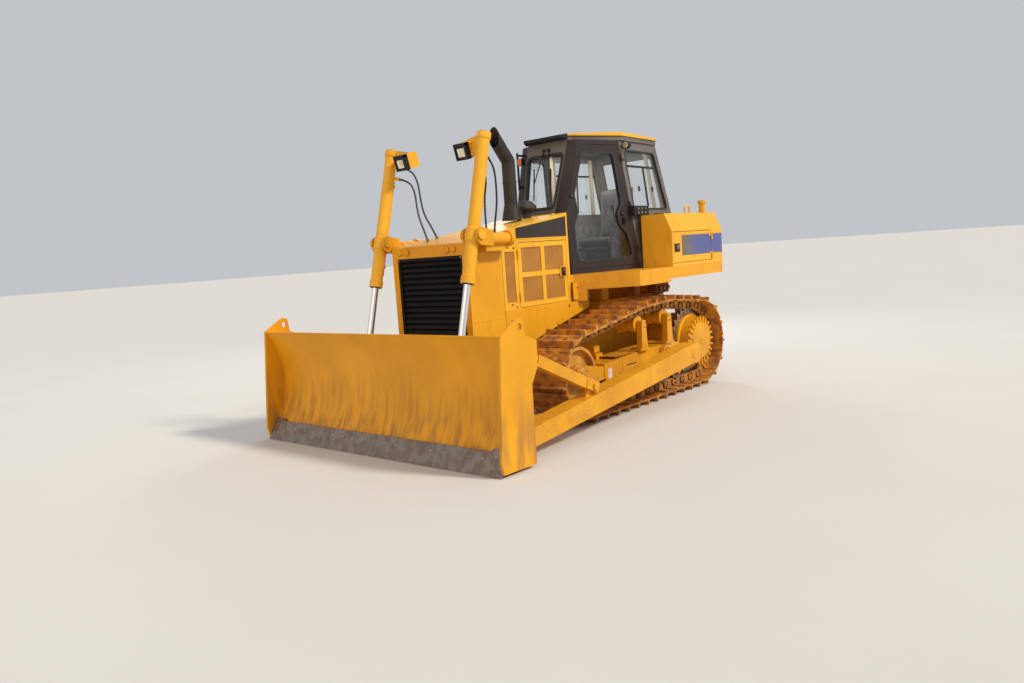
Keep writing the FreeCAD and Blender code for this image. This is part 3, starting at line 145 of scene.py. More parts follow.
def mix_colour(tree, amount, a, b):
    node = tree.nodes.new("ShaderNodeMix")
    node.data_type = "RGBA"
    tree.links.new(amount, node.inputs["Factor"])
    for name, value in (("A", a), ("B", b)):
        socket = [s for s in node.inputs if s.name == name and s.type == "RGBA"][0]
        if isinstance(value, tuple):
            socket.default_value = (*value, 1.0)
        else:
            tree.links.new(value, socket)
    return [s for s in node.outputs if s.type == "RGBA"][0]


def add_bump(tree, shader, height, strength, distance):
    node = tree.nodes.new("ShaderNodeBump")
    node.inputs["Strength"].default_value = strength
    node.inputs["Distance"].default_value = distance
    tree.links.new(height, node.inputs["Height"])
    tree.links.new(node.outputs["Normal"], shader.inputs["Normal"])


def dust_mask(tree, place, amount, top):
    # thick near the ground, thinner up to the given height, and on faces that look up
    height = tree.nodes.new("ShaderNodeSeparateXYZ")
    tree.links.new(place, height.inputs["Vector"])
    low = between(tree, height.outputs["Z"], 0.0, top, 1.0, 0.0)
    normal = tree.nodes.new("ShaderNodeSeparateXYZ")
    tree.links.new(tree.nodes.new("ShaderNodeNewGeometry").outputs["Normal"], normal.inputs["Vector"])
    facing_up = between(tree, normal.outputs["Z"], 0.3, 1.0, 0.0, 0.5)
    spread = math_node(tree, "MAXIMUM", low, facing_up)
    clouds = between(tree, noise(tree, place, 3.2, 8.0), 0.30, 0.72)
    specks = between(tree, noise(tree, place, 34.0, 4.0), 0.35, 0.75, 0.45, 1.0)
    mask = math_node(tree, "MULTIPLY", math_node(tree, "MULTIPLY", spread, clouds), specks)
    return math_node(tree, "MULTIPLY", mask, amount)


SOIL = (0.225, 0.092, 0.040)


def paint(name, light, dark, roughness=0.40, dust=0.55, dust_top=1.5, coat=0.08):
    # sprayed paint: slow drift between two tones, faint orange peel, dusty below
    material, tree, shader, place = start_material(name)
    drift = between(tree, noise(tree, place, 1.4, 5.0), 0.32, 0.68)
    colour = mix_colour(tree, drift, light, dark)
    grime = between(tree, noise(tree, place, 9.0, 9.0, (1, 1, 0.35)), 0.50, 0.78, 0.0, 0.30)
    colour = mix_colour(tree, grime, colour, tuple(0.55 * c for c in dark))
    mask = dust_mask(tree, place, dust, dust_top)
    colour = mix_colour(tree, mask, colour, SOIL)
    tree.links.new(colour, shader.inputs["Base Color"])
    rough = between(tree, mask, 0.0, 1.0, roughness, 0.85)
    tree.links.new(rough, shader.inputs["Roughness"])
    set_sockets(shader, Specular_IOR_Level=0.22, Coat_Weight=coat, Coat_Roughness=0.12)
    add_bump(tree, shader, noise(tree, place, 260.0, 2.0), 0.06, 0.002)
    return material


def metal(name, light, dark, roughness=(0.35, 0.6), metallic=1.0, dust=0.4, dust_top=1.2, grain=120.0,
          relief=0.25):
    # bare or rusty steel: two tones in patches, a grain in its bump
    material, tree, shader, place = start_material(name)
    patches = between(tree, noise(tree, place, 11.0, 8.0), 0.38, 0.64)
    colour = mix_colour(tree, patches, light, dark)
    mask = dust_mask(tree, place, dust, dust_top)
    colour = mix_colour(tree, mask, colour, SOIL)
    tree.links.new(colour, shader.inputs["Base Color"])
    tree.links.new(between(tree, patches, 0.0, 1.0, *roughness), shader.inputs["Roughness"])
    bright = between(tree, mask, 0.0, 0.6, metallic, 0.0)
    tree.links.new(bright, shader.inputs["Metallic"])
    add_bump(tree, shader, noise(tree, place, grain, 5.0), relief, 0.003)
    return material


def rubber(name, tone=0.018, roughness=0.55, dust=0.25):
    material, tree, shader, place = start_material(name)
    patches = between(tree, noise(tree, place, 14.0, 5.0), 0.35, 0.7)
    colour = mix_colour(tree, patches, (tone, tone, tone), (2 * tone, 1.8 * tone, 1.6 * tone))
    mask = dust_mask(tree, place, dust, 1.6)
    tree.links.new(mix_colour(tree, mask, colour, SOIL), shader.inputs["Base Color"])
    set_sockets(shader, Roughness=roughness)
    add_bump(tree, shader, noise(tree, place, 420.0, 3.0), 0.12, 0.001)
    return material


# %% [markdown]
# The paint of such a machine is a warm yellow that leans to orange. The upper parts take a
# paler, yellower copy of it, which is painted sunlight as well as lighter dust. The track chain
# is the colour of the ground it works in, with bright steel where the ground rubs it.

# %% Finishes
yellow = paint("yellow_paint", (0.80, 0.368, 0.011), (0.70, 0.305, 0.009))
# paler, yellower copy of the paint for the upper parts: painted sunlight and sheen, and less dust
yellow_sunlit_less_dusty = paint("yellow_paint_upper_sunlit", (0.85, 0.440, 0.030), (0.77, 0.380, 0.020), dust=0.26, dust_top=0.9)
cab_grey = paint("cab_shell_paint", (0.165, 0.148, 0.124), (0.128, 0.112, 0.094), 0.45, 0.30, 1.9, 0.05)
door_dark = paint("cab_door_paint", (0.040, 0.029, 0.028), (0.028, 0.021, 0.021), 0.40, 0.30, 1.9, 0.10)
grille_black = paint("grille_black", (0.008, 0.008, 0.009), (0.005, 0.005, 0.006), 0.65, 0.10, 1.8, 0.0)
black = paint("black_paint", (0.016, 0.016, 0.017), (0.010, 0.010, 0.011), 0.45, 0.25, 1.8, 0.10)
charcoal = paint("stripe_paint", (0.042, 0.033, 0.027), (0.032, 0.026, 0.022), 0.36, 0.2, 1.2, 0.10)
soot = metal("sooty_steel", (0.030, 0.028, 0.027), (0.060, 0.045, 0.036), (0.55, 0.8), 0.5, 0.2, 1.0)
track_steel = metal("track_steel", (0.21, 0.125, 0.075), (0.14, 0.075, 0.042), (0.6, 0.85), 0.35, 0.75, 1.6, 60.0)
worn_steel = metal("worn_steel", (0.50, 0.43, 0.36), (0.38, 0.30, 0.23), (0.30, 0.48), 1.0, 0.30, 0.9, 90.0)
edge_steel = metal("edge_steel", (0.30, 0.26, 0.225), (0.225, 0.175, 0.14), (0.38, 0.55), 0.75, 0.22, 0.7, 70.0)
bolt_steel = metal("bolt_steel", (0.36, 0.30, 0.25), (0.16, 0.11, 0.08), (0.4, 0.65), 0.9, 0.4, 1.2)
chrome = metal("chrome_rod", (0.90, 0.90, 0.91), (0.84, 0.84, 0.85), (0.20, 0.28), 1.0, 0.10, 0.9, 200.0, 0.02)
shoe_paint = metal("track_shoe", (0.62, 0.260, 0.022), (0.30, 0.120, 0.040), (0.55, 0.8), 0.10, 0.55, 1.0, 45.0)
grouser_soil = metal("grouser_soil", (0.30, 0.125, 0.045), (0.20, 0.082, 0.034), (0.7, 0.9), 0.10, 0.5, 1.0, 38.0)
# darker, browner orange than the body paint for idlers and their housings: painted shade over their yellow
idler_paint_painted_shade = metal("idler_paint_painted_shade", (0.66, 0.315, 0.030), (0.50, 0.225, 0.035), (0.5, 0.75), 0.05, 0.35, 0.9, 50.0)
hose_rubber = rubber("hose_rubber", 0.014, 0.42)
seal_rubber = rubber("seal_rubber", 0.012, 0.6)
trim = rubber("trim_plastic", 0.028, 0.5, 0.2)
print(len(bpy.data.materials), "materials")

# %% [markdown]
# The frame's solids have knife-sharp edges, which no real plate has. A copy of each solid is
# merged, its flat triangles are joined, and a Bevel modifier rounds its sharp edges. The
# copy then stands for the solid and moves with the same body.

# %% Rounded copies of the frame's solids
BODY_OF = {node: body for body, nodes in frame["record"]["behaviour"]["bodies"].items() for node in nodes}


def finish(piece, material, body, smooth_angle=32):
    # material, place in the scene, and shading that keeps sharp corners
    piece.data.materials.clear()
    for each in material if isinstance(material, (list, tuple)) else [material]:
        piece.data.materials.append(each)
    if piece.name not in bpy.context.collection.objects:
        bpy.context.collection.objects.link(piece)
    piece.data.shade_smooth()
    piece.data.set_sharp_from_angle(angle=radians(smooth_angle))
    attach(piece, body)
    return piece


def add_bevel(piece, width, segments=2, angle=32):
    bevel = piece.modifiers.new("rounded_edges", "BEVEL")
    bevel.width = width
    bevel.segments = segments
    bevel.limit_method = "ANGLE"
    bevel.angle_limit = radians(angle)
    bevel.harden_normals = True
    bevel.use_clamp_overlap = True


def rounded(node, material, width=0.004, segments=2):
    source = frame["nodes"][node]
    shape = bmesh.new()
    shape.from_mesh(source.data)
    bmesh.ops.remove_doubles(shape, verts=shape.verts, dist=0.00004)
    bmesh.ops.dissolve_degenerate(shape, edges=shape.edges, dist=0.0002)
    bmesh.ops.dissolve_limit(shape, angle_limit=radians(0.8), verts=shape.verts, edges=shape.edges)
    mesh = bpy.data.meshes.new(node + "_body")
    shape.to_mesh(mesh)
    shape.free()
    piece = bpy.data.objects.new(node + "_body", mesh)
    finish(piece, material, BODY_OF[node])
    add_bevel(piece, width, segments)
    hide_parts(node)
    return piece


# %% [markdown]
# The added parts are built the same way each time: a bmesh starts from a cube, a cone or a
# cylinder, is shaped, and becomes one piece. These helpers take drawing millimetres.

# %% Helpers for added parts
def add_box(shape, low, high):
    low, high = mm(*low), mm(*high)
    size = high - low
    place = Matrix.Translation((low + high) / 2) @ Matrix.Diagonal((*size, 1))
    return bmesh.ops.create_cube(shape, size=1.0, matrix=place)["verts"]


def add_rod(shape, start, end, radius, tip=None, sides=20, caps=True):
    start, end = mm(*start), mm(*end)
    along = end - start
    place = Matrix.Translation((start + end) / 2) @ along.to_track_quat("Z", "Y").to_matrix().to_4x4()
    return bmesh.ops.create_cone(shape, cap_ends=caps, segments=sides, radius1=radius / 1000,
                                 radius2=(radius if tip is None else tip) / 1000, depth=along.length,
                                 matrix=place)["verts"]


def add_bolt(shape, place, along, size=16, height=10):
    # washer, six-sided head and the stub of the thread
    place, along = Vector(place), Vector(along).normalized()
    add_rod(shape, place, place + along * 3, size * 0.98, sides=16)
    add_rod(shape, place + along * 2.5, place + along * height, size * 0.72, sides=6)
    add_rod(shape, place + along * (height - 1), place + along * (height + 3), size * 0.36, sides=8)


def mirror_y(shape):
    # the same again on the machine's other side
    twin = bmesh.ops.duplicate(shape, geom=shape.verts[:] + shape.edges[:] + shape.faces[:])["geom"]
    verts = [part for part in twin if isinstance(part, bmesh.types.BMVert)]
    faces = [part for part in twin if isinstance(part, bmesh.types.BMFace)]
    bmesh.ops.scale(shape, vec=(1, -1, 1), verts=verts)
    bmesh.ops.reverse_faces(shape, faces=faces)


def make_piece(name, shape, material, body, bevel=0.0, segments=2, smooth_angle=32):
    mesh = bpy.data.meshes.new(name)
    shape.to_mesh(mesh)
    shape.free()
    piece = bpy.data.objects.new(name, mesh)
    finish(piece, material, body, smooth_angle)
    if bevel:
        add_bevel(piece, bevel, segments)
    return piece


# %% [markdown]
# First every solid of the frame gets its finish. Plates and castings get rounded edges, small
# or round parts keep their own mesh, and only the finish changes.

# %% Finish of each solid
ROUNDED = (
    (yellow, 0.006, ("main_frame", "radiator_guard", "platform", "push_arms", "blade_brace", "idler_yokes",
                     "hull_side_panels", "equalizer_bar", "drawbar")),
    (yellow, 0.004, ("track_frame_left", "track_frame_right", "cylinder_yokes")),
    (yellow_sunlit_less_dusty, 0.005, ("hood", "rear_tank", "side_boxes", "box_door_left", "box_door_right")),
    (yellow_sunlit_less_dusty, 0.003, ("engine_side_frames", "engine_door_left", "engine_door_right", "cab_roof",
                           "work_lamp_left", "work_lamp_right")),
    (cab_grey, 0.004, ("cab_shell",)),
    (door_dark, 0.004, ("cab_door_left", "cab_door_right")),
    (yellow, 0.003, ("blade",)),
    (edge_steel, 0.003, ("cutting_edge",)),
    (black, 0.002, ("engine_block",)),
)
PLAIN = (
    (yellow, ("final_drives", "carrier_rollers", "tilt_cylinder")),
    (yellow_sunlit_less_dusty, ("tank_fittings", "lift_barrel_left", "lift_barrel_right")),
    (track_steel, ("track_rollers", "track_left", "track_right")),
    (idler_paint_painted_shade, ("idlers",)),
    (worn_steel, ("sprockets",)),
    (chrome, ("lift_rod_left", "lift_rod_right")),
    (grille_black, ("radiator_grille",)),
    (black, ("cab_fittings",)),
    (soot, ("exhaust_stack",)),
    (trim, ("precleaner", "control_console", "operator_seat")),
    (hose_rubber, ("hose_left_1", "hose_left_2", "hose_right_1", "hose_right_2")),
)
for material, width, nodes in ROUNDED:
    for node in nodes:
        rounded(node, material, width)
for material, nodes in PLAIN:
    for node in nodes:
        solid = frame["nodes"][node]
        solid.data.materials.clear()
        solid.data.materials.append(material)
        solid.data.shade_smooth()
        solid.data.set_sharp_from_angle(angle=radians(32))
print("solids finished", sum(len(row[-1]) for row in ROUNDED + PLAIN))

# %% Glass
glass = bpy.data.materials.new("cab_glass")
glass.use_nodes = True
glass_shader = glass.node_tree.nodes["Principled BSDF"]
set_sockets(glass_shader, Base_Color=(0.97, 0.985, 0.98), Roughness=0.02, IOR=1.45, Transmission_Weight=1.0)
for node in ("cab_glass", "door_glass_left", "door_glass_right"):
    solid = frame["nodes"][node]
    solid.data.materials.clear()
    solid.data.materials.append(glass)

# %% [markdown]
# The tracks carry the eye of this machine. The chain's pins lie on one loop round sprocket,
# idler and carrier rollers. One link with its shoe is modelled from pin to pin, and is then
# set down once for each pair of pins.

# %% Pins of the chain
SPROCKET, SPROCKET_RADIUS = (0.0, 559.0), 434.0
IDLER, IDLER_RADIUS = (2430.0, 494.0), 369.0
REAR_CARRIER, FRONT_CARRIER = (740.0, 1066.0), (1300.0, 1040.0)
SHOES = 37
TRACK_Y = 940


def tangent_angle(centre, radius, point, side):
    dx, dz = point[0] - centre[0], point[1] - centre[1]
    return atan2(dz, dx) + side * acos(radius / hypot(dx, dz))


def on_circle(centre, radius, angle):
    return centre[0] + radius * cos(angle), centre[1] + radius * sin(angle)


def chain_pins():
    over_sprocket = tangent_angle(SPROCKET, SPROCKET_RADIUS, REAR_CARRIER, 1)
    over_idler = tangent_angle(IDLER, IDLER_RADIUS, FRONT_CARRIER, -1)
    stops = [(SPROCKET, SPROCKET_RADIUS, pi, 1.5 * pi), (IDLER, IDLER_RADIUS, -0.5 * pi, over_idler),
             (FRONT_CARRIER, 0.0, 0.0, 0.0), (REAR_CARRIER, 0.0, 0.0, 0.0),
             (SPROCKET, SPROCKET_RADIUS, over_sprocket, pi)]
    runs = []
    for (centre, radius, start, end), following in zip(stops, stops[1:] + [None]):
        if radius:
            angle = lambda t, a=start, b=end: a + t * (b - a)
            runs.append((radius * (end - start), lambda t, c=centre, r=radius, f=angle: on_circle(c, r, f(t))))
        if following:
            p, q = on_circle(centre, radius, end), on_circle(*following[:3])
            runs.append((hypot(q[0] - p[0], q[1] - p[1]),
                         lambda t, p=p, q=q: (p[0] + t * (q[0] - p[0]), p[1] + t * (q[1] - p[1]))))
    pitch = sum(length for length, place in runs) / SHOES
    pins = []
    for i in range(SHOES):
        left = i * pitch
        for length, place in runs:
            if left <= length:
                break
            left -= length
        pins.append(place(left / length))
    return pins, pitch


pins, pitch = chain_pins()
print(len(pins), "pins, pitch", round(pitch, 1), "mm")

# %% [markdown]
# Drawn flat, the link runs along X from its rear pin to its front pin, and Z points out to
# the ground. A shoe is a plate with one tall grouser bar, worn round and bright at its tip,
# and four bolts hold it to two link rails. Each rail steps outward between its two eyes, so
# that its front eye straddles the rear eye of the next link.

# %% One link with its shoe
def local_box(shape, low, high):
    low, high = Vector(low) / 1000, Vector(high) / 1000
    place = Matrix.Translation((low + high) / 2) @ Matrix.Diagonal((*(high - low), 1))
    return bmesh.ops.create_cube(shape, size=1.0, matrix=place)["verts"]


def local_rod(shape, start, end, radius, sides=16, tip=None):
    start, end = Vector(start) / 1000, Vector(end) / 1000
    along = end - start
    place = Matrix.Translation((start + end) / 2) @ along.to_track_quat("Z", "Y").to_matrix().to_4x4()
    tip = radius if tip is None else tip
    return bmesh.ops.create_cone(shape, cap_ends=True, segments=sides, radius1=radius / 1000,
                                 radius2=tip / 1000, depth=along.length, matrix=place)["verts"]


def set_material(verts, index):
    for face in {face for vert in verts for face in vert.link_faces}:
        face.material_index = index


def link_with_shoe():
    shape = bmesh.new()
    # plate, lip that the next plate slides under, grouser with its narrow worn tip
    plate = local_box(shape, (2, -255, 56), (pitch - 3, 255, 70))
    lip = local_box(shape, (pitch - 26, -251, 64), (pitch + 16, 251, 76))
    tail = local_box(shape, (-30, -250, 45), (24, 250, 57))
    bar = local_box(shape, (22, -254, 68), (56, 254, 112))
    bmesh.ops.scale(shape, vec=(0.62, 1, 1), space=Matrix.Translation((-0.039, 0, 0)),
                    verts=[v for v in bar if v.co.z > 0.1])
    tip = local_box(shape, (28.5, -253, 110), (49.5, 253, 124))
    bmesh.ops.scale(shape, vec=(0.72, 0.985, 1), space=Matrix.Translation((-0.039, 0, 0)),
                    verts=[v for v in tip if v.co.z > 0.12])
    set_material(tip, 3)
    set_material(bar, 3)
    for side in (-1, 1):
        y = 80 * side
        for x in (88, 158):
            washer = local_rod(shape, (x, y, 69), (x, y, 74), 23)
            head = local_rod(shape, (x, y, 73), (x, y, 88), 18, sides=6)
            nut = local_rod(shape, (x, y, 38), (x, y, 57), 17, sides=6)
            set_material(washer + head + nut, 1)
        # rail: rear half near the middle, front half outside it, and the running surface
        inner, outer = sorted((y - 24 * side, y - side)), sorted((y + side, y + 24 * side))
        halves = local_box(shape, (-8, inner[0], -30), (pitch * 0.62, inner[1], 56))
        halves += local_box(shape, (pitch * 0.40, outer[0], -30), (pitch + 6, outer[1], 56))
        halves += local_rod(shape, (0, inner[0], 0), (0, inner[1], 0), 45, 24)
        halves += local_rod(shape, (pitch, outer[0], 0), (pitch, outer[1], 0), 45, 24)
        set_material(halves, 2)
        rail = local_box(shape, (26, min(inner[0], outer[0]), -46), (pitch - 26, max(inner[1], outer[1]), -28))
        set_material(rail, 1)
        set_material(local_rod(shape, (pitch, y, 0), (pitch, y + 29 * side, 0), 21, 20), 1)
    bushing = local_rod(shape, (0, -57, 0), (0, 57, 0), 34, 24)
    set_material(bushing, 1)
    unit = bpy.data.meshes.new("link_unit")
    shape.to_mesh(unit)
    shape.free()
    return unit


link_unit = link_with_shoe()


def lay_chain(side):
    shape = bmesh.new()
    for i, (x, z) in enumerate(pins):
        next_x, next_z = pins[(i + 1) % SHOES]
        along = Vector((next_x - x, 0, next_z - z)).normalized()
        outward = Vector((along.z, 0, -along.x))
        turn = Matrix((along, outward.cross(along), outward)).transposed().to_4x4()
        before = len(shape.verts)
        shape.from_mesh(link_unit)
        shape.verts.ensure_lookup_table()
        place = Matrix.Translation(mm(x, TRACK_Y, z)) @ turn
        bmesh.ops.transform(shape, matrix=place, verts=shape.verts[before:])
    if side < 0:
        bmesh.ops.scale(shape, vec=(1, -1, 1), verts=shape.verts)
        bmesh.ops.reverse_faces(shape, faces=shape.faces)
    name = "left" if side > 0 else "right"
    piece = make_piece("track_chain_" + name, shape, (shoe_paint, worn_steel, track_steel, grouser_soil), "root",
                       bevel=0.0025, segments=1)
    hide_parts("track_" + name)
    return piece


for side in (1, -1):
    chain = lay_chain(side)
    print(chain.name, len(chain.data.polygons), "faces")

# %% [markdown]
# Sprocket, idler and rollers keep the shape of their solids. Bolt rings, end caps and
# keeper plates are added to them.

# %% Bolts and caps of the running gear
wheels = bmesh.new()


def bolt_ring(shape, centre_x, centre_z, y, radius, count, size, height=9, phase=0.0):
    for i in range(count):
        angle = phase + 2 * pi * i / count
        add_bolt(shape, (centre_x + radius * cos(angle), y, centre_z + radius * sin(angle)), (0, 1, 0), size, height)


bolt_ring(wheels, 0, 559, 978.3, 367, 27, 10, 7, phase=0.1)
for x in (500, 792, 1084, 1376, 1668, 1960):
    bolt_ring(wheels, x, 270.3, 1107, 25, 2, 8, phase=0.3)
bolt_ring(wheels, 2430, 494, 1109, 68, 4, 10, 7, phase=pi / 4)
for x, z in ((740, 931), (1300, 905)):
    bolt_ring(wheels, x, z, 1142, 34, 3, 8, phase=0.5)
mirror_y(wheels)
make_piece("running_gear_bolts", wheels, bolt_steel, "root", smooth_angle=40)

caps = bmesh.new()
add_rod(caps, (0, 1150, 559), (0, 1172, 559), 58, 52, 48)
for x in (500, 792, 1084, 1376, 1668, 1960):
    add_rod(caps, (x, 1096, 270.3), (x, 1108, 270.3), 50, 48, 32)
    add_box(caps, (x - 58, 1096, 300), (x + 58, 1103, 330))
for x, z in ((740, 931), (1300, 905)):
    add_rod(caps, (x, 1130, z), (x, 1143, z), 50, 47, 32)
mirror_y(caps)
make_piece("running_gear_caps", caps, yellow, "root", bevel=0.003)
print("running gear bolted")

# %% [markdown]
# The engine's doors breathe through perforated sheet. The holes are only a few millimetres
# wide, so they are painted by the material as dark brown dots, painted shade of the engine bay
# behind: two square lattices of dots, one shifted by half a step, make the staggered pattern
# of a punched sheet, and the same mask dents it.

# %% Punched sheet
def punched(name, light, dark, pitch=0.014, hole=0.30):
    material, tree, shader, place = start_material(name)
    parts = tree.nodes.new("ShaderNodeSeparateXYZ")
    tree.links.new(place, parts.inputs["Vector"])
    masks = []
    for shift in (0.0, 0.5):
        squares = []
        for axis in ("X", "Z"):
            steps = math_node(tree, "MULTIPLY", parts.outputs[axis], 1 / pitch)
            share = math_node(tree, "FRACT", math_node(tree, "ADD", steps, 100.0 + shift), 0.0)
            offset = math_node(tree, "SUBTRACT", share, 0.5)
            squares.append(math_node(tree, "MULTIPLY", offset, offset))
        distance = math_node(tree, "SQRT", math_node(tree, "ADD", *squares), 0.0)
        masks.append(between(tree, distance, hole * 0.85, hole, 1.0, 0.0))
    hole_shade_mask = math_node(tree, "MAXIMUM", *masks)
    drift = between(tree, noise(tree, place, 5.0, 5.0), 0.35, 0.7)
    sheet = mix_colour(tree, drift, light, dark)
    # the holes are painted near-black brown: painted shade seen through them
    tree.links.new(mix_colour(tree, hole_shade_mask, sheet, (0.045, 0.018, 0.008)), shader.inputs["Base Color"])
    tree.links.new(between(tree, drift, 0.0, 1.0, 0.45, 0.65), shader.inputs["Roughness"])
    solid = math_node(tree, "SUBTRACT", 1.0, hole_shade_mask)
    add_bump(tree, shader, solid, 0.5, 0.002)
    return material


punched_sheet = punched("punched_sheet", (0.78, 0.325, 0.020), (0.64, 0.250, 0.018))

# %% Sheets in the doors and beside them
DOOR = {"rear": 1742, "front": 2585, "low": 1222, "high": 1902, "rib": 60, "bar": 52}
HOOD_Y = 450
pane_width = (DOOR["front"] - DOOR["rear"] - 3 * DOOR["rib"]) / 2
pane_height = (DOOR["high"] - DOOR["low"] - 3 * DOOR["bar"]) / 2
for side, name in ((1, "left"), (-1, "right")):
    sheets = bmesh.new()
    for i in range(2):
        for j in range(2):
            x = DOOR["rear"] + DOOR["rib"] + i * (pane_width + DOOR["rib"])
            z = DOOR["low"] + DOOR["bar"] + j * (pane_height + DOOR["bar"])
            add_box(sheets, (x + 3, HOOD_Y - 11.5, z + 3), (x + pane_width - 3, HOOD_Y - 8, z + pane_height - 3))
    latch = bmesh.new()
    add_box(latch, (1766, HOOD_Y + 0.3, 1498), (1882, HOOD_Y + 9.5, 1612))
    lock = bmesh.new()
    add_box(lock, (1786, HOOD_Y + 9, 1508), (1862, HOOD_Y + 14, 1604))
    add_box(lock, (1812, HOOD_Y + 13, 1526), (1840, HOOD_Y + 19, 1560))
    key = bmesh.new()
    add_rod(key, (1826, HOOD_Y + 13, 1577), (1826, HOOD_Y + 17, 1577), 9)
    for shape in (sheets, latch, lock, key):
        if side < 0:
            bmesh.ops.scale(shape, vec=(1, -1, 1), verts=shape.verts)
            bmesh.ops.reverse_faces(shape, faces=shape.faces)
    body = "engine_door_" + name
    make_piece("door_sheets_" + name, sheets, punched_sheet, body)
    make_piece("engine_latch_" + name, latch, yellow, body, bevel=0.004)
    make_piece("engine_lock_" + name, lock, black, body, bevel=0.0025)
    make_piece("engine_key_" + name, key, worn_steel, body, bevel=0.001)

sheets = bmesh.new()
add_box(sheets, (2643, HOOD_Y - 10.5, 1293), (2787, HOOD_Y - 7, 1812))
mirror_y(sheets)
make_piece("side_sheets", sheets, punched_sheet, "root")
print("sheet panes", round(pane_width), "x", round(pane_height), "mm")

# %% [markdown]
# A dark stripe runs back along the hood's side. It is a thin skin that follows the slope of
# the hood: a box whose upper corners are moved down towards the front.

# %% Stripe on the hood
stripe = bmesh.new()
corners = add_box(stripe, (1722, HOOD_Y - 1, 1948), (2592, HOOD_Y + 2.2, 2168))
front_top = [v for v in corners if v.co.z > 2.1 and v.co.x > 0.5]
bmesh.ops.translate(stripe, vec=(0, 0, -0.114), verts=front_top)
mirror_y(stripe)
make_piece("hood_stripes", stripe, charcoal, "root", bevel=0.001, segments=1)

# %% [markdown]
# Bolts and seams tell the size of a machine like this one. They are set in rows: on the
# guard's bosses, along the foot of the guard, on the hull's side plates and round the grille.

# %% Bolts of hull, guard and track frames
bolts = bmesh.new()
for y in (-452, 452):
    add_bolt(bolts, (3430, y, 1797), (1, 0, 0), 11, 6)
outboard = bmesh.new()
for x, z in ((2773, 1097), (1780, 1165)):
    add_bolt(outboard, (x, 479.5, z), (0, 1, 0), 16, 9)
for x, z in ((2712, 1264), (2640, 1232), (2790, 1850), (2640, 1850)):
    add_bolt(outboard, (x, 449.5, z), (0, 1, 0), 13, 7)
for i in range(9):
    add_bolt(outboard, (640 + i * 140, 1097.5, 428), (0, 1, 0), 13, 8)
for x in (1395, 1440, 1700, 1752):
    add_bolt(outboard, (x, 930, 604), (0, 0, 1), 15, 9)
    add_bolt(outboard, (x, 1040, 604), (0, 0, 1), 15, 9)
for x in (675, 805, 1235, 1365):
    add_bolt(outboard, (x, 1012, 640), (0, 0, 1), 12, 8)
for x, z in ((1621, 1359), (1506, 1356), (1562, 1267)):
    add_bolt(outboard, (x, 489, z), (0, 1, 0), 11, 6)
mirror_y(outboard)
part = bpy.data.meshes.new("outboard_bolts")
outboard.to_mesh(part)
outboard.free()
bolts.from_mesh(part)
make_piece("hull_bolts", bolts, bolt_steel, "root", smooth_angle=40)

# %% Plates, seams and slots of hull and guard
plates = bmesh.new()
add_box(plates, (1400, 480, 1222), (1700, 489, 1418))
add_box(plates, (2795, 544.5, 876), (3210, 549, 984))
add_box(plates, (2965, 544.5, 1150), (3425, 547.5, 1158))
add_box(plates, (1330, 1097.5, 410), (2040, 1101, 446))
add_box(plates, (1340, 860, 603), (1810, 1075, 608))
for x in (1340, 1700, 1960):
    add_box(plates, (x, 1097, 446), (x + 14, 1102, 592))
mirror_y(plates)
for y in (-425, -316, 272, 364):
    add_rod(plates, (3440, y, 1877), (3448, y, 1877), 36, 33, sides=32)
    add_rod(plates, (3448, y, 1877), (3457, y, 1877), 33, 16, sides=32)
make_piece("hull_plates", plates, yellow, "root", bevel=0.003)

core = bmesh.new()
add_box(core, (3300, -440, 770), (3352, 440, 1806))
for i in range(44):
    y = -430 + i * 20
    add_box(core, (3351, y - 2, 772), (3364, y + 2, 1804))
make_piece("radiator_core", core, soot, "root", bevel=0.0)

slots = bmesh.new()
add_box(slots, (1421, 1097, 484), (1625, 1099, 496))
add_box(slots, (2940, 545, 1030), (2944, 546.4, 2006))
mirror_y(slots)
make_piece("dark_slots", slots, black, "root", bevel=0.0005, segments=1)

labels = bmesh.new()
add_box(labels, (1920, 1097, 382), (1990, 1101.8, 506))
add_box(labels, (668, 1097, 483), (728, 1099.4, 587))
mirror_y(labels)
label_white = paint("label_white", (0.78, 0.76, 0.72), (0.70, 0.67, 0.62), 0.45, 0.25, 0.9, 0.2)
make_piece("blank_labels", labels, label_white, "root", bevel=0.0006, segments=1)

# %% Fittings on the hood
fittings = bmesh.new()
add_rod(fittings, (2110, 0, 2255), (2110, 0, 2283), 88, sides=40)
add_rod(fittings, (2110, 0, 2570), (2110, 0, 2592), 79, sides=40)
add_box(fittings, (2186, -14, 2256), (2212, 14, 2282))
add_rod(fittings, (1850, 0, 2238), (1850, 0, 2250), 66, sides=32)
for i in range(20):
    angle = 2 * pi * i / 20
    x, y = 1850 + 119 * cos(angle), 119 * sin(angle)
    add_rod(fittings, (x, y, 2264), (x, y, 2285), 5, sides=6)
make_piece("stack_fittings", fittings, soot, "root", bevel=0.002)

hood_parts = bmesh.new()
for x in (1745, 2450):
    for y in (-300, 300):
        height = 1935 + 0.158 * (3434 - x)
        add_rod(hood_parts, (x, y, height - 4), (x, y, height + 9), 22, 17, sides=24)
make_piece("hood_lugs", hood_parts, yellow_sunlit_less_dusty, "root", bevel=0.003)

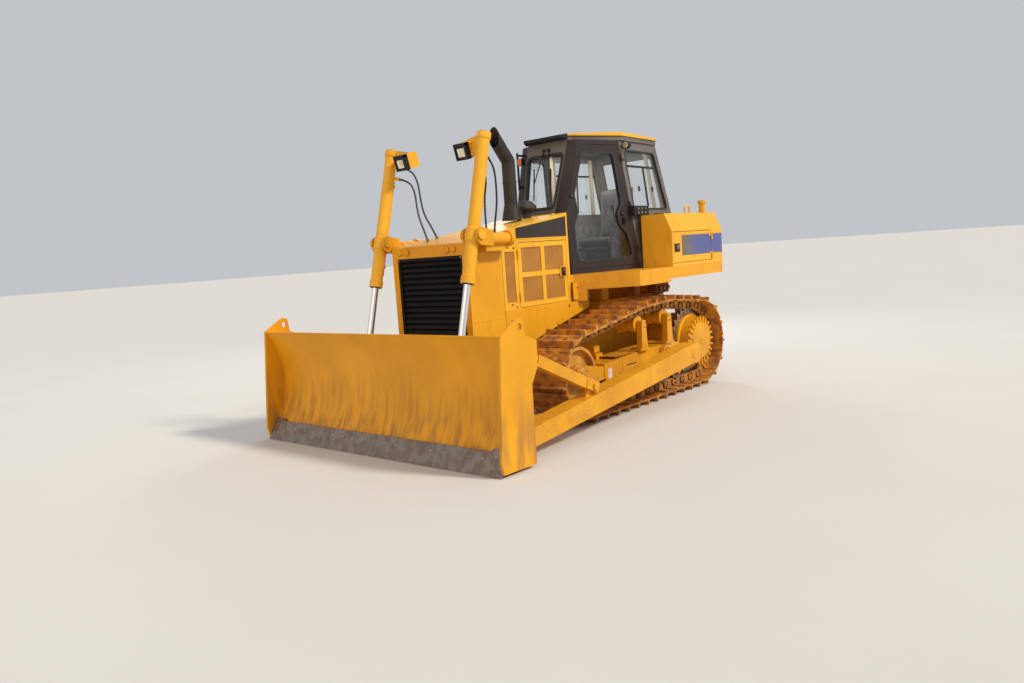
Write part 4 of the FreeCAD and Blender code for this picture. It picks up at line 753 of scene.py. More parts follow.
# %% Parts seen between track and platform
under = bmesh.new()
add_box(under, (-60, 560, 1172), (250, 690, 1350))
add_box(under, (640, 600, 1190), (760, 700, 1350))
for x in (0, 90, 180):
    add_rod(under, (x, 690, 1235), (x, 728, 1235), 26, sides=20)
    add_rod(under, (x, 690, 1300), (x, 716, 1300), 18, sides=20)
soiled_paint = paint("soiled_paint", (0.34, 0.130, 0.030), (0.22, 0.085, 0.028), 0.6, 0.5, 1.6, 0.0)
make_piece("valve_block", under, soiled_paint, "root", bevel=0.004)
pipes = bmesh.new()
for x in (20, 110, 200):
    add_rod(pipes, (x, 722, 1235), (x, 722, 1180), 11, sides=14)
    add_rod(pipes, (x, 640, 1160), (x + 500, 640, 1160), 11, sides=14)
make_piece("valve_pipes", pipes, bolt_steel, "root", bevel=0.002)
print("engine side, guard and frames fitted")

# %% [markdown]
# The roof is a thin yellow plate on a dark rim, with a black visor over the windscreen. The
# rim is part of the roof's solid, so its faces only take another material.

# %% Roof rim and visor
RIM_TOP = 3.0975
roof = bpy.data.objects["cab_roof_body"]
roof.data.materials.append(cab_grey)
for face in roof.data.polygons:
    if face.center.z < RIM_TOP:
        face.material_index = 1

shell = bpy.data.objects["cab_shell_body"]
shell.data.materials.append(door_dark)
for face in shell.data.polygons:
    if face.normal.x > 0.15 and abs(face.normal.y) > 0.12:
        face.material_index = 1

visor = bmesh.new()
slab = add_box(visor, (1396, -316, 3050), (1492, 316, 3122))
bmesh.ops.scale(visor, vec=(1, 0.86, 0.45), space=Matrix.Translation(-mm(1492, 0, 3096)),
                verts=[v for v in slab if v.co.x > mm(1450, 0, 0).x])
make_piece("cab_visor", visor, black, "root", bevel=0.008, segments=3)

# %% [markdown]
# Each pane of the cab sits in a black rubber seal. A seal is a band round the window's
# outline, drawn flat with rounded corners and then laid on the slanted plane of its wall.

# %% Rubber seals round the windows
def rear_side(x, z):
    return 650 + 0.08 * (x - 500) - 0.0752 * (z - 1505.3)


def door_side(x, z):
    return 650 - 0.238 * (x - 500) - 0.0305 * (z - 1505.3)


def screen_x(z):
    return 1634 - (z - 2200) * 250 / 845


def rounded_loop(corners, grow, steps=6):
    points = []
    for i, (u, z, radius) in enumerate(corners):
        corner = Vector((u, z))
        before = (Vector(corners[i - 1][:2]) - corner).normalized()
        after = (Vector(corners[(i + 1) % len(corners)][:2]) - corner).normalized()
        centre = corner + (before + after).normalized() * radius / sin(before.angle(after) / 2)
        from_before = (before * after.dot(before) - after).normalized()
        from_after = (after * before.dot(after) - before).normalized()
        outward = 1 if after.cross(before) > 0 else -1
        for step in range(steps + 1):
            away = from_before.lerp(from_after, step / steps).normalized()
            points.append(centre + away * (radius + outward * grow))
    return points


def window_seal(name, body, corners, on_plane, wide=16):
    shape = bmesh.new()
    loops = []
    for grow, lift in ((-7, -15), (-7, 4), (wide, 4), (wide, -2)):
        loops.append([shape.verts.new(on_plane(*point, lift)) for point in rounded_loop(corners, grow)])
    for inner, outer in zip(loops, loops[1:] + loops[:1]):
        for i in range(len(inner)):
            shape.faces.new((inner[i - 1], inner[i], outer[i], outer[i - 1]))
    bmesh.ops.recalc_face_normals(shape, faces=shape.faces)
    return make_piece(name, shape, seal_rubber, body, bevel=0.001, segments=1)


WINDSCREEN = ((-200, 2290, 40), (200, 2290, 40), (246, 2890, 40), (-246, 2890, 40))
REAR_WINDOW = ((-400, 2250, 40), (400, 2250, 40), (380, 2900, 40), (-380, 2900, 40))
SIDE_WINDOW = ((-395, 2235, 30), (505, 2235, 30), (600, 2930, 40), (-165, 2930, 40))
DOOR_WINDOW = ((612, 1650, 60), (1478, 1650, 70), (1490, 2060, 60), (1420, 2200, 70), (1450, 2420, 60),
               (1290, 2890, 60), (820, 2890, 60), (745, 2300, 80), (820, 2180, 70), (790, 2040, 70), (690, 1940, 70))
window_seal("windscreen_seal", "root", WINDSCREEN,
            lambda y, z, lift: mm(screen_x(z) + 0.96 * lift, y, z + 0.28 * lift), 30)
window_seal("rear_window_seal", "root", REAR_WINDOW,
            lambda y, z, lift: mm(-500 + (z - 2200) * 255 / 845 - 0.957 * lift, y, z + 0.289 * lift))
for side, name in ((1, "left"), (-1, "right")):
    window_seal("side_window_seal_" + name, "root", SIDE_WINDOW,
                lambda x, z, lift: mm(x, side * (rear_side(x, z) + lift), z))
    seal = window_seal("door_window_seal_" + name, "cab_door_" + name, DOOR_WINDOW,
                       lambda x, z, lift: mm(x, side * (door_side(x, z) + lift), z))
    print(seal.name, len(seal.data.polygons), "faces")

# %% [markdown]
# The side windows slide, and their bars divide them. The windscreen has wipers that hang
# from its header. Both lie on slanted planes, so their ends are worked out from the planes.

# %% Window bars, wipers and small cab parts
bars = bmesh.new()
for start, end in (((-230, 2750), (540, 2750)), ((106, 2262), (138, 2742))):
    places = [(x, rear_side(x, z) - 13, z) for x, z in (start, end)]
    add_rod(bars, *places, 15, sides=4)
for x, z in ((-60, 2480), (300, 2480)):
    add_box(bars, (x - 16, rear_side(x, z) - 15, z - 30), (x + 16, rear_side(x, z) - 4, z + 30))
mirror_y(bars)
make_piece("window_bars", bars, seal_rubber, "root", bevel=0.003)

wipers = bmesh.new()
for pivot_y, tip_y, tip_z in ((40, 135, 2540), (-30, -120, 2560)):
    top, tip = (screen_x(2962) + 10, pivot_y, 2962), (screen_x(tip_z) + 14, tip_y, tip_z)
    add_rod(wipers, top, tip, 7, sides=10)
    add_rod(wipers, (screen_x(2962) - 4, pivot_y, 2962), (screen_x(2962) + 22, pivot_y, 2966), 20, sides=20)
    blade_top, blade_low = tip_z + 200, tip_z - 170
    add_rod(wipers, (screen_x(blade_top) + 6, tip_y - 30, blade_top), (screen_x(blade_low) + 6, tip_y + 26, blade_low),
            9, sides=4)
make_piece("wipers", wipers, black, "root", bevel=0.002)

for side, name in ((1, "left"), (-1, "right")):
    handle, studs = bmesh.new(), bmesh.new()
    for x, z, radius in ((1497, 2397, 24), (744, 2179, 30)):
        y = door_side(x, z)
        add_rod(handle, (x, y - 4, z), (x, y + 14, z), radius, radius * 0.8, sides=28)
    y = door_side(744, 2110)
    add_box(handle, (716, y - 2, 2050), (756, y + 16, 2130))
    add_rod(handle, (736, y + 26, 2060), (736, y + 26, 2120), 9, sides=14)
    for x, z in ((1402, 1662), (753, 1668), (1101, 1936), (1101, 1900)):
        y = door_side(x, z) - 14
        add_rod(studs, (x, y - 3, z), (x, y + 5, z), 11, 8, sides=20)
    for x, z in ((744, 2179), (1497, 2397)):
        y = door_side(x, z)
        add_rod(studs, (x, y + 13, z), (x, y + 17, z), 10, 8, sides=16)
    for shape in (handle, studs):
        if side < 0:
            bmesh.ops.scale(shape, vec=(1, -1, 1), verts=shape.verts)
            bmesh.ops.reverse_faces(shape, faces=shape.faces)
    make_piece("door_handle_" + name, handle, black, "cab_door_" + name, bevel=0.003)
    make_piece("door_studs_" + name, studs, worn_steel, "cab_door_" + name, bevel=0.0015)

SWITCH_FACE = rear_side(640, 2150) + 61
small = bmesh.new()
for x, z in ((540, 2228), (460, 2228), (380, 2228), (540, 2178), (460, 2178), (380, 2178)):
    add_bolt(small, (x, SWITCH_FACE, z), (0, 1, 0), 15, 8)
for x in (-90, -30):
    add_bolt(small, (x, rear_side(10, 2060) + 60, 2145), (0, 1, 0), 12, 6)
make_piece("box_screws", small, worn_steel, "root", smooth_angle=40)

box = bmesh.new()
add_box(box, (300, rear_side(400, 2200) + 1, 2146), (640, SWITCH_FACE, 2262))
make_piece("switch_box", box, black, "root", bevel=0.006, segments=3)

# %% [markdown]
# Behind the glass the cab is lined in beige. The lining is a set of thin panels just inside
# the walls, with a headliner, a floor mat, and the operator's levers and dash.

# %% Cab lining, mat and controls
lining = paint("cab_lining", (0.42, 0.37, 0.28), (0.36, 0.31, 0.23), 0.62, 0.12, 1.6, 0.0)
mat = rubber("floor_mat", 0.060, 0.7, 0.4)
console_trim = rubber("console_trim", 0.110, 0.6, 0.1)
console = frame["nodes"]["control_console"]
console.data.materials[0] = console_trim

inside = bmesh.new()
roof_lining = add_box(inside, (-190, -470, 3026), (1300, 470, 3041))
bmesh.ops.scale(inside, vec=(1, 0.62, 1), space=Matrix.Translation(-mm(1300, 0, 3030)),
                verts=[v for v in roof_lining if v.co.x > mm(1200, 0, 0).x])
for sign in (-1, 1):
    for x, z0, z1, wide in ((556, 1560, 2990, 40), (-150, 2240, 2960, 30)):
        y0, y1 = rear_side(x, z0) - 62, rear_side(x, z1) - 62
        add_rod(inside, (x, sign * y0, z0), (x + 0.13 * (z1 - z0), sign * y1, z1), wide, sides=4)
    low, high = (1530, sign * 340, 2215), (1330, sign * 372, 3010)
    add_rod(inside, low, high, 24, sides=4)
make_piece("cab_lining", inside, lining, "root", bevel=0.006)

cab_mat = bmesh.new()
add_box(cab_mat, (-440, -560, 1551), (700, 560, 1557))
add_box(cab_mat, (699, -400, 1551), (1250, 400, 1557))
make_piece("cab_mat", cab_mat, mat, "root", bevel=0.002)

controls = bmesh.new()
for y in (-345, 345):
    add_rod(controls, (560, y, 2078), (600, y * 0.98, 2230), 9, sides=14)
    add_rod(controls, (600, y * 0.98, 2226), (606, y * 0.98, 2300), 24, 20, sides=24)
for y in (-110, 0, 110):
    add_box(controls, (1236, y - 38, 1620), (1262, y + 38, 1720))
    add_rod(controls, (1250, y, 1670), (1300, y, 1660), 12, sides=12)
add_rod(controls, (1330, 120, 2275), (1265, 120, 2370), 8, sides=12)
add_rod(controls, (1330, -40, 2275), (1285, -40, 2340), 8, sides=12)
make_piece("cab_controls", controls, black, "root", bevel=0.003)

dials = bmesh.new()
for y in (-130, -60, 10, 80):
    add_rod(dials, (1331, y, 2234), (1318, y, 2240), 27, 25, sides=32)
make_piece("dash_dials", dials, seal_rubber, "root", bevel=0.002)

# %% [markdown]
# The seat is two real cushions on a pan. Each one starts as a rounded block, is remeshed
# evenly, and a short cloth simulation with a little pressure swells it between its edges.
# How far a point may move is capped, so that the cushion keeps its size.

# %% Seat cushions
seat_cloth, seat_tree, seat_shader, seat_place = start_material("seat_cloth")
weave = noise(seat_tree, seat_place, 700.0, 2.0, (1, 1, 3))
worn = between(seat_tree, noise(seat_tree, seat_place, 7.0, 5.0), 0.35, 0.7)
seat_tone = mix_colour(seat_tree, worn, (0.035, 0.035, 0.038), (0.075, 0.072, 0.070))
seat_tree.links.new(seat_tone, seat_shader.inputs["Base Color"])
set_sockets(seat_shader, Roughness=0.85, Sheen_Weight=0.25)
add_bump(seat_tree, seat_shader, weave, 0.35, 0.002)


def cushion(name, low, high, turn=0.0, swell=0.012):
    shape = bmesh.new()
    add_box(shape, low, high)
    bmesh.ops.bevel(shape, geom=shape.edges[:], offset=0.035, offset_type="OFFSET", segments=4, profile=0.5,
                    affect="EDGES", material=-1)
    pivot = mm((low[0] + high[0]) / 2, 0, low[2])
    bmesh.ops.rotate(shape, cent=pivot, matrix=Matrix.Rotation(turn, 3, "Y"), verts=shape.verts)
    piece = make_piece(name, shape, seat_cloth, "root")
    remesh = piece.modifiers.new("even_mesh", "REMESH")
    remesh.mode, remesh.voxel_size = "VOXEL", 0.008
    apply_modifiers(piece)
    rest = [v.co.copy() for v in piece.data.vertices]
    cloth = piece.modifiers.new("padding", "CLOTH")
    cloth.settings.use_pressure = True
    cloth.settings.uniform_pressure_force = 4.0
    cloth.settings.effector_weights.gravity = 0.0
    for step in range(1, 15):
        bpy.context.scene.frame_set(step)
    apply_modifiers(piece)
    for vert, start in zip(piece.data.vertices, rest):
        moved = vert.co - start
        if moved.length > swell:
            vert.co = start + moved.normalized() * swell
    bpy.context.scene.frame_set(1)
    smooth = piece.modifiers.new("soft_surface", "SUBSURF")
    smooth.levels = smooth.render_levels = 1
    apply_modifiers(piece)
    piece.data.shade_smooth()
    return piece


def apply_modifiers(piece):
    graph = bpy.context.evaluated_depsgraph_get()
    settled = bpy.data.meshes.new_from_object(piece.evaluated_get(graph))
    piece.modifiers.clear()
    piece.data = settled
    piece.data.shade_smooth()


seat_pan = bmesh.new()
add_box(seat_pan, (130, -170, 1537), (510, 170, 1760))
add_box(seat_pan, (90, -230, 1755), (585, 230, 1800))
pan_back = add_box(seat_pan, (-40, -215, 1790), (0, 215, 2540))
bmesh.ops.translate(seat_pan, vec=(-0.05, 0, 0), verts=[v for v in pan_back if v.co.z > 2.3])
make_piece("seat_pan", seat_pan, trim, "root", bevel=0.012, segments=3)
seat = cushion("seat_cushion", (96, -225, 1800), (588, 225, 1900), radians(-3))
back = cushion("back_cushion", (2, -218, 1905), (104, 218, 2530), radians(-5))
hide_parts("operator_seat")
for piece in (seat, back):
    print(piece.name, len(piece.data.polygons), "faces")

# %% [markdown]
# The lift cylinders lean, so their small parts are placed in the cylinder's own frame, with
# the trunnion at zero: X ahead, Y outboard and Z up along the barrel. One matrix takes them
# from there to the machine, and the right side is the left side mirrored.

# %% The lean of the lift cylinders
LEAN = atan2(3863 - 3468, 1994 - 529)
TO_ZERO = Matrix.Translation(-mm(0, 0, 0))
FROM_TRUNNION = Matrix.Translation(mm(3468, 671, 1994)) @ Matrix.Rotation(-LEAN, 4, "Y") @ TO_ZERO
SIDES = ((1, "left"), (-1, "right"))


def to_side(shape, side):
    if side < 0:
        bmesh.ops.scale(shape, vec=(1, -1, 1), verts=shape.verts)
        bmesh.ops.reverse_faces(shape, faces=shape.faces)


def on_cylinder(shape, side):
    bmesh.ops.transform(shape, matrix=FROM_TRUNNION, verts=shape.verts)
    to_side(shape, side)


def add_collar(shape, low, high, low_radius, high_radius, inner):
    """A ring round the barrel, open inside so that the rod can pass."""
    outline = ((inner, low), (low_radius, low), (high_radius, high), (inner, high))
    verts = [shape.verts.new(mm(radius, 0, z)) for radius, z in outline]
    edges = [shape.edges.new((a, b)) for a, b in zip(verts, verts[1:] + verts[:1])]
    bmesh.ops.spin(shape, geom=verts + edges, cent=mm(0, 0, 0), axis=(0, 0, 1), angle=2 * pi, steps=48,
                   use_merge=True)
    bmesh.ops.recalc_face_normals(shape, faces=shape.faces)


print("the cylinders lean", round(LEAN * 57.2958, 1), "degrees")

# %% [markdown]
# A barrel has a bolted cap, a gland at its lower end with a seal round the rod, and a steel
# pipe that brings the oil down its back, held by two clamps.

# %% Caps, pipes, clamps and seals of the barrels
for side, name in SIDES:
    body = "lift_barrel_" + name
    rings, bolts, pipe, seal = bmesh.new(), bmesh.new(), bmesh.new(), bmesh.new()
    for low, high, low_radius, high_radius in ((930, 940, 64, 68), (948, 956, 71.5, 71.5), (60, 72, 72, 65),
                                               (-72, -60, 65, 72), (-397, -389, 69, 64), (-405, -401, 71.5, 71.5)):
        add_collar(rings, low, high, low_radius, high_radius, 58)
    add_rod(rings, (0, 0, 999), (0, 0, 1007), 62, 54, sides=48)
    for y in (-1, 1):
        add_rod(rings, (0, y * 117, 0), (0, y * 125, 0), 50, 47, sides=40)
    for z in (620, 300, -250):
        add_box(rings, (-88, -16, z), (-58, 16, z + 30))
        add_bolt(bolts, (-88, 0, z + 15), (-1, 0, 0), 10, 6)
    add_rod(pipe, (-76, 0, -330), (-76, 0, 690), 9, sides=16)
    add_rod(pipe, (-76, 0, -330), (-56, 0, -352), 9, sides=16)
    add_rod(pipe, (-76, 0, 690), (-56, 0, 712), 9, sides=16)
    for i in range(8):
        angle = 2 * pi * i / 8 + 0.2
        add_bolt(bolts, (50 * cos(angle), 50 * sin(angle), 1003), (0, 0, 1), 10, 7)
        add_bolt(bolts, (58 * cos(angle), 58 * sin(angle), -466.5), (0, 0, -1), 9, 6)
    add_rod(seal, (0, 0, -476), (0, 0, -466), 44, 48, sides=40)
    for shape in (rings, bolts, pipe, seal):
        on_cylinder(shape, side)
    make_piece("barrel_rings_" + name, rings, yellow_sunlit_less_dusty, body, bevel=0.002)
    make_piece("barrel_bolts_" + name, bolts, bolt_steel, body, smooth_angle=40)
    make_piece("barrel_pipe_" + name, pipe, yellow, body, bevel=0.001)
    make_piece("rod_seal_" + name, seal, seal_rubber, body, bevel=0.001)

# %% [markdown]
# A work lamp looks forward and down beside each cap. Its yellow box gets a black hood round
# a hollow, a bright reflector and a lens in front of it.

# %% Faces of the work lamps
lens_glass = metal("lamp_lens", (0.86, 0.78, 0.60), (0.66, 0.56, 0.42), (0.08, 0.2), 0.75, 0.05, 0.9, 220.0)
amber_lens = paint("amber_lens", (0.75, 0.20, 0.03), (0.60, 0.13, 0.02), 0.12, 0.05, 0.9, 0.4)
LAMP = Vector((-29, -228, 873))
LAMP_HALF = Vector((93.5, 76.5, 77.5))
LAMP_PITCH = radians(30)
for side, name in SIDES:
    body = "lift_barrel_" + name
    hood_shape, hollow, lens = bmesh.new(), bmesh.new(), bmesh.new()
    front, half_y, half_z = LAMP.x + LAMP_HALF.x, LAMP_HALF.y + 3, LAMP_HALF.z + 3
    frames = (((-half_y, -half_z), (half_y, 14 - half_z)), ((-half_y, half_z - 30), (half_y, half_z)),
              ((-half_y, -half_z), (16 - half_y, half_z)), ((half_y - 16, -half_z), (half_y, half_z)))
    for low, high in frames:
        add_box(hood_shape, (front - 46, LAMP.y + low[0], LAMP.z + low[1]),
                (front + 14, LAMP.y + high[0], LAMP.z + high[1]))
    add_box(hollow, (front - 3, LAMP.y - 68, LAMP.z - 69), (front + 1.5, LAMP.y + 68, LAMP.z + 52))
    dish = add_box(lens, (front + 1, LAMP.y - 46, LAMP.z - 52), (front + 9, LAMP.y + 46, LAMP.z + 34))
    for shape in (hood_shape, hollow, lens):
        bmesh.ops.rotate(shape, cent=mm(*LAMP), matrix=Matrix.Rotation(LAMP_PITCH, 3, "Y"), verts=shape.verts)
        on_cylinder(shape, side)
    make_piece("lamp_hood_" + name, hood_shape, black, body, bevel=0.003)
    make_piece("lamp_hollow_" + name, hollow, seal_rubber, body, bevel=0.001)
    make_piece("lamp_lens_" + name, lens, lens_glass, body, bevel=0.006, segments=4)

marker = bmesh.new()
add_box(marker, (1580, -314, 2824), (1590, -248, 2896))
make_piece("marker_lens", marker, amber_lens, "root", bevel=0.006, segments=3)
cab_lenses, cab_bezels = bmesh.new(), bmesh.new()
add_rod(cab_bezels, (648, 611, 2985), (664, 611, 2985), 50, 50, 40)
add_rod(cab_lenses, (663, 611, 2985), (669, 611, 2985), 40, 34, 40)
mirror_y(cab_bezels)
mirror_y(cab_lenses)
make_piece("cab_lamp_bezels", cab_bezels, black, "root", bevel=0.003)
make_piece("cab_lamp_lenses", cab_lenses, lens_glass, "root", bevel=0.003, segments=3)
print("lamps fitted")

# %% [markdown]
# The lift hoses hang free between each barrel and the hood. A hose is a tube along one NURBS
# curve of order 3, whose control points are the route that the frame's hose follows. The
# same curve without a bevel gives the line that its ferrules and sockets are set along. The
# barrel swings a few degrees.

# %% Lift hoses
HOSE_RADIUS = 0.010
ROUTES = {
    "left_1": ((3166, 622, 2790), (3061.6, 559.2, 2761.8), (2974.5, 559.2, 2652.2), (2962, 560, 2470),
               (2950, 540, 2290), (2915, 470, 2140), (2905, 440, 2022)),
    "left_2": ((3200, 604, 2660), (3120.2, 539.2, 2638.5), (3048.1, 513, 2533.6), (3062, 480, 2370),
               (3062, 475, 2200), (3066, 480, 2080), (3068, 482, 1996)),
    "right_1": ((3166, -622, 2790), (3061.6, -559.2, 2761.8), (3020, -512, 2640), (3050, -460, 2460),
                (3060, -418, 2280), (3012, -362, 2135), (2975, -325, 2010)),
    "right_2": ((3200, -604, 2660), (3120.2, -539.2, 2638.5), (3094, -488, 2522), (3120, -450, 2352),
                (3140, -398, 2212), (3140, -340, 2090), (3132, -310, 1987)),
}


def route_mesh(name, route, radius):
    data = bpy.data.curves.new(name, "CURVE")
    data.dimensions = "3D"
    data.resolution_u = 20
    data.bevel_depth = radius
    data.bevel_resolution = 4
    data.use_fill_caps = True
    spline = data.splines.new("NURBS")
    spline.points.add(len(route) - 1)
    for point, place in zip(spline.points, route):
        point.co = (*mm(*place), 1.0)
    spline.order_u = 3
    spline.use_endpoint_u = True
    curve = bpy.data.objects.new(name, data)
    bpy.context.collection.objects.link(curve)
    mesh = bpy.data.meshes.new_from_object(curve.evaluated_get(bpy.context.evaluated_depsgraph_get()))
    bpy.data.objects.remove(curve)
    return mesh


for name, route in ROUTES.items():
    side = name.split("_")[0]
    barrel = "lift_barrel_" + side
    line = [vert.co.copy() for vert in route_mesh(name + "_line", route, 0.0).vertices]
    hose = bpy.data.objects.new("lift_hose_" + name, route_mesh(name, route, HOSE_RADIUS))
    bpy.context.collection.objects.link(hose)
    hose.data.materials.clear()
    hose.data.materials.append(hose_rubber)
    hose.data.shade_smooth()
    hose.data.set_sharp_from_angle(angle=radians(50))
    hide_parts("hose_" + name)
    ferrules = bmesh.new()
    for a, b, radius in ((line[0], line[3], 14), (line[0], line[1], 18)):
        add_rod(ferrules, tuple(a * 1000 + Vector((ORIGIN_X, 0, 0))), tuple(b * 1000 + Vector((ORIGIN_X, 0, 0))),
                radius, sides=20)
    make_piece("hose_ferrule_" + name, ferrules, bolt_steel, barrel, bevel=0.001)
    sockets = bmesh.new()
    for a, b, radius, sides in ((line[-1], line[-4], 14, 20), (line[-1], line[-2], 19, 6)):
        add_rod(sockets, tuple(a * 1000 + Vector((ORIGIN_X, 0, 0))), tuple(b * 1000 + Vector((ORIGIN_X, 0, 0))),
                radius, sides=sides)
    make_piece("hose_socket_" + name, sockets, bolt_steel, "root", bevel=0.001)
    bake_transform(hose)

# %% [markdown]
# The blade's face is scoured by the ground, most of all low down, so its paint wears through
# to soil and bare steel there. The cutting edge is bolted on with round-headed plough bolts.

# %% Blade paint, edge bolts and pins
blade_paint, blade_tree, blade_shader, blade_place = start_material("blade_paint")
drift = between(blade_tree, noise(blade_tree, blade_place, 1.6, 5.0), 0.32, 0.68)
blade_tone = mix_colour(blade_tree, drift, (0.80, 0.368, 0.011), (0.69, 0.300, 0.009))
height = blade_tree.nodes.new("ShaderNodeSeparateXYZ")
blade_tree.links.new(blade_place, height.inputs["Vector"])
low_down = between(blade_tree, height.outputs["Z"], 0.10, 0.95, 1.0, 0.0)
streaks = between(blade_tree, noise(blade_tree, blade_place, 9.0, 9.0, (1, 1.6, 0.22)), 0.36, 0.70)
scoured = math_node(blade_tree, "MULTIPLY", math_node(blade_tree, "MULTIPLY", low_down, streaks), 0.75)
blade_tone = mix_colour(blade_tree, scoured, blade_tone, (0.30, 0.130, 0.048))
blade_tree.links.new(blade_tone, blade_shader.inputs["Base Color"])
blade_tree.links.new(between(blade_tree, scoured, 0.0, 0.8, 0.40, 0.75), blade_shader.inputs["Roughness"])
set_sockets(blade_shader, Specular_IOR_Level=0.25)
add_bump(blade_tree, blade_shader, noise(blade_tree, blade_place, 40.0, 8.0, (1, 1, 0.4)), 0.12, 0.004)
bpy.data.objects["blade_body"].data.materials[0] = blade_paint

edge_normal = Vector((cos(radians(30)), 0, sin(radians(30))))
edge_bolts = bmesh.new()
for i in range(19):
    y = -1422 + i * 158
    place = Vector((4409 - 128 * 0.5774, y, 128))
    add_rod(edge_bolts, place - edge_normal * 3, place + edge_normal * 3, 15, 11, sides=20)
for y in (-1640, -1560, 1560, 1640):
    for z in (70, 150):
        place = Vector((4410 - z * 0.5774, y, z))
        add_rod(edge_bolts, place - edge_normal * 3, place + edge_normal * 3, 15, 11, sides=20)
for y in (-720, 720):
    out = 1 if y > 0 else -1
    add_rod(edge_bolts, (3863, y + out * 75, 529), (3863, y + out * 84, 529), 44, 40, 32)
make_piece("edge_bolts", edge_bolts, worn_steel, "blade_frame", bevel=0.0015, segments=2)

pins = bmesh.new()
for x, z in ((3704, 885), (2812, 480)):
    for y in (1450 - 84, 1450 + 76):
        add_rod(pins, (x, y, z), (x, y + 8, z), 40, 38, 32)
    add_bolt(pins, (x, 1534, z), (0, 1, 0), 14, 7)
add_rod(pins, (850, 1527, 530), (850, 1536, 530), 70, 66, 48)
mirror_y(pins)
make_piece("linkage_pins", pins, yellow, "blade_frame", bevel=0.003)
print("blade dressed")

# %% [markdown]
# The idler's axle is held in a cast housing on the frame's nose, with an eye for towing. The
# tank side carries a stripe that is grey in front and blue behind, cut where the box door
# opens, and the door has a small black latch.

# %% Idler housings, tank stripe and latch
housing, eyes = bmesh.new(), bmesh.new()
add_rod(housing, (2430, 1080, 494), (2430, 1110, 494), 98, 88, 56)
add_rod(housing, (2430, 1108, 494), (2430, 1116, 494), 50, 46, 40)
add_box(housing, (2165, 1080, 352), (2400, 1104, 462))
add_box(housing, (2330, 1080, 396), (2440, 1106, 520))
add_rod(housing, (2262, 1100, 408), (2262, 1112, 408), 36, 34, 32)
add_rod(eyes, (2262, 1110, 408), (2262, 1113.5, 408), 22, 22, 32)
mirror_y(housing)
mirror_y(eyes)
# the housings share the idlers' darker orange, which is painted shade
make_piece("idler_housings", housing, idler_paint_painted_shade, "root", bevel=0.006, segments=3)
make_piece("housing_eyes", eyes, seal_rubber, "root", bevel=0.001)

stripe_paint, stripe_tree, stripe_shader, stripe_place = start_material("tank_stripe_paint")
along_x = stripe_tree.nodes.new("ShaderNodeSeparateXYZ")
stripe_tree.links.new(stripe_place, along_x.inputs["Vector"])
fade = between(stripe_tree, along_x.outputs["X"], mm(-90, 0, 0).x, mm(150, 0, 0).x)
haze = between(stripe_tree, noise(stripe_tree, stripe_place, 6.0, 6.0), 0.35, 0.7, 0.0, 0.25)
stripe_tone = mix_colour(stripe_tree, fade, (0.085, 0.105, 0.290), (0.150, 0.130, 0.110))
stripe_tone = mix_colour(stripe_tree, haze, stripe_tone, (0.20, 0.17, 0.17))
stripe_tree.links.new(stripe_tone, stripe_shader.inputs["Base Color"])
set_sockets(stripe_shader, Roughness=0.38, Specular_IOR_Level=0.3)
STRIPE_LOW, STRIPE_HIGH, BOX_Y = 1625, 1871, 1081
for side, name in SIDES:
    for part, x0, x1, body in (("front", -486, 255, "box_door_" + name), ("rear", -786, -495, "root")):
        stripe = bmesh.new()
        add_box(stripe, (x0, BOX_Y - 1, STRIPE_LOW), (x1, BOX_Y + 1.6, STRIPE_HIGH))
        to_side(stripe, side)
        make_piece("tank_stripe_" + part + "_" + name, stripe, stripe_paint, body,
                   bevel=0.0006, segments=1)
    latch, catch = bmesh.new(), bmesh.new()
    add_box(latch, (316, BOX_Y - 1, 1676), (432, BOX_Y + 9, 1774))
    add_box(catch, (336, BOX_Y + 8, 1694), (398, BOX_Y + 13, 1756))
    add_rod(catch, (368, BOX_Y + 12, 1738), (368, BOX_Y + 16, 1738), 9, sides=16)
    to_side(latch, side)
    to_side(catch, side)
    make_piece("tank_latch_" + name, latch, black, "box_door_" + name, bevel=0.003)
    make_piece("tank_catch_" + name, catch, bolt_steel, "box_door_" + name, bevel=0.0015)
print("stripe", STRIPE_HIGH - STRIPE_LOW, "mm high")

# %% [markdown]
# The stage is a plain pale floor under a soft studio sky. A broad light on the machine's left
# side does the work of the sun, and a weak one from the front opens the shadows.

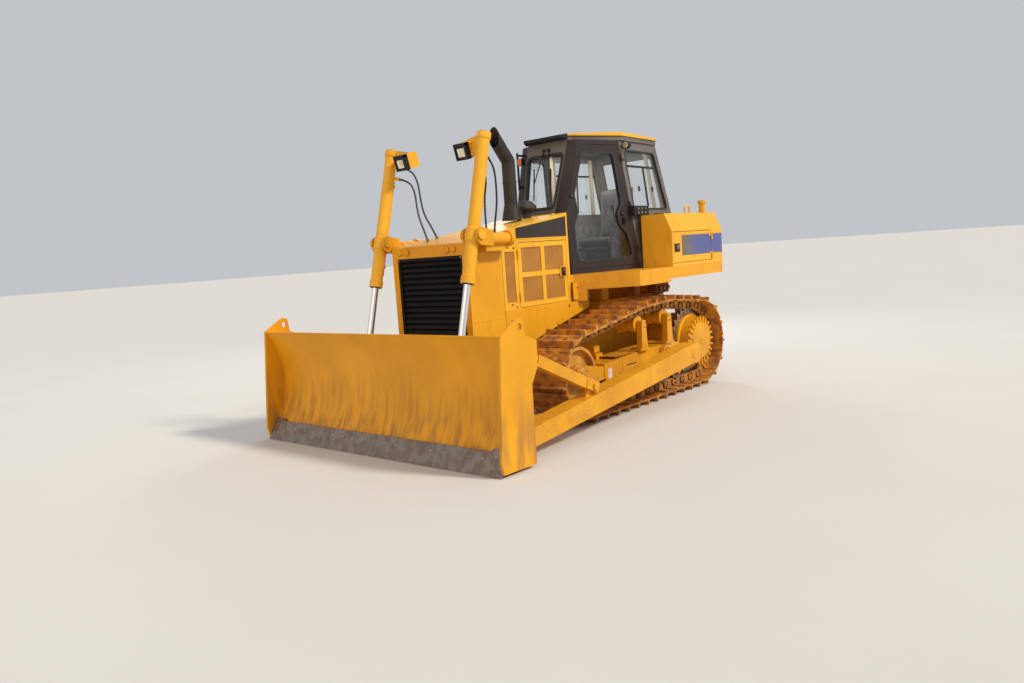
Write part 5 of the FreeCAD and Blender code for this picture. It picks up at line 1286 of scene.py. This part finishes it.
# %% Floor and lights
floor_shape = bmesh.new()
bmesh.ops.create_grid(floor_shape, x_segments=1, y_segments=1, size=200.0)
floor_mesh = bpy.data.meshes.new("floor")
floor_shape.to_mesh(floor_mesh)
floor_shape.free()
floor = bpy.data.objects.new("floor", floor_mesh)
floor_material, floor_tree, floor_shader, floor_place = start_material("pale_floor")
floor_tone = mix_colour(floor_tree, noise(floor_tree, floor_place, 0.6, 4.0), (0.62, 0.60, 0.57), (0.66, 0.645, 0.62))
floor_tree.links.new(floor_tone, floor_shader.inputs["Base Color"])
set_sockets(floor_shader, Roughness=0.9)
floor.data.materials.append(floor_material)
bpy.context.collection.objects.link(floor)

sky = bpy.data.worlds.new("studio")
sky.use_nodes = True
sky.node_tree.nodes["Background"].inputs["Color"].default_value = (0.86, 0.90, 0.95, 1.0)
sky.node_tree.nodes["Background"].inputs["Strength"].default_value = 0.62
bpy.context.scene.world = sky


def add_light(name, place, target, size, watts, tone=(1.0, 1.0, 1.0)):
    data = bpy.data.lights.new(name, "AREA")
    data.shape = "RECTANGLE"
    data.size, data.size_y = size
    data.energy = watts
    data.color = tone
    lamp = bpy.data.objects.new(name, data)
    lamp.matrix_world = Matrix.Translation(place) @ (
        (Vector(place) - Vector(target)).to_track_quat("Z", "Y").to_matrix().to_4x4())
    bpy.context.collection.objects.link(lamp)
    return lamp


def add_sun(name, towards, energy, spread, tone):
    data = bpy.data.lights.new(name, "SUN")
    data.energy = energy
    data.angle = radians(spread)
    data.color = tone
    sun = bpy.data.objects.new(name, data)
    sun.matrix_world = Vector(towards).to_track_quat("Z", "Y").to_matrix().to_4x4()
    bpy.context.collection.objects.link(sun)


add_sun("soft_sun", (-1.3, 4.0, 3.5), 2.7, 9, (1.0, 0.94, 0.84))
add_sun("front_fill", (4.0, 0.4, 1.6), 0.75, 60, (1.0, 0.68, 0.42))
cab_light = add_light("cab_light", (mm(500, 0, 2990)), (mm(500, 0, 1600)), (0.7, 0.7), 20, (1.0, 0.93, 0.80))
cab_light.visible_camera = cab_light.visible_transmission = cab_light.visible_glossy = False
add_light("rear_rim", (-7.0, -5.0, 6.0), (0.0, 0.0, 1.5), (4.0, 3.0), 220)
bpy.context.scene.view_settings.view_transform = "Standard"
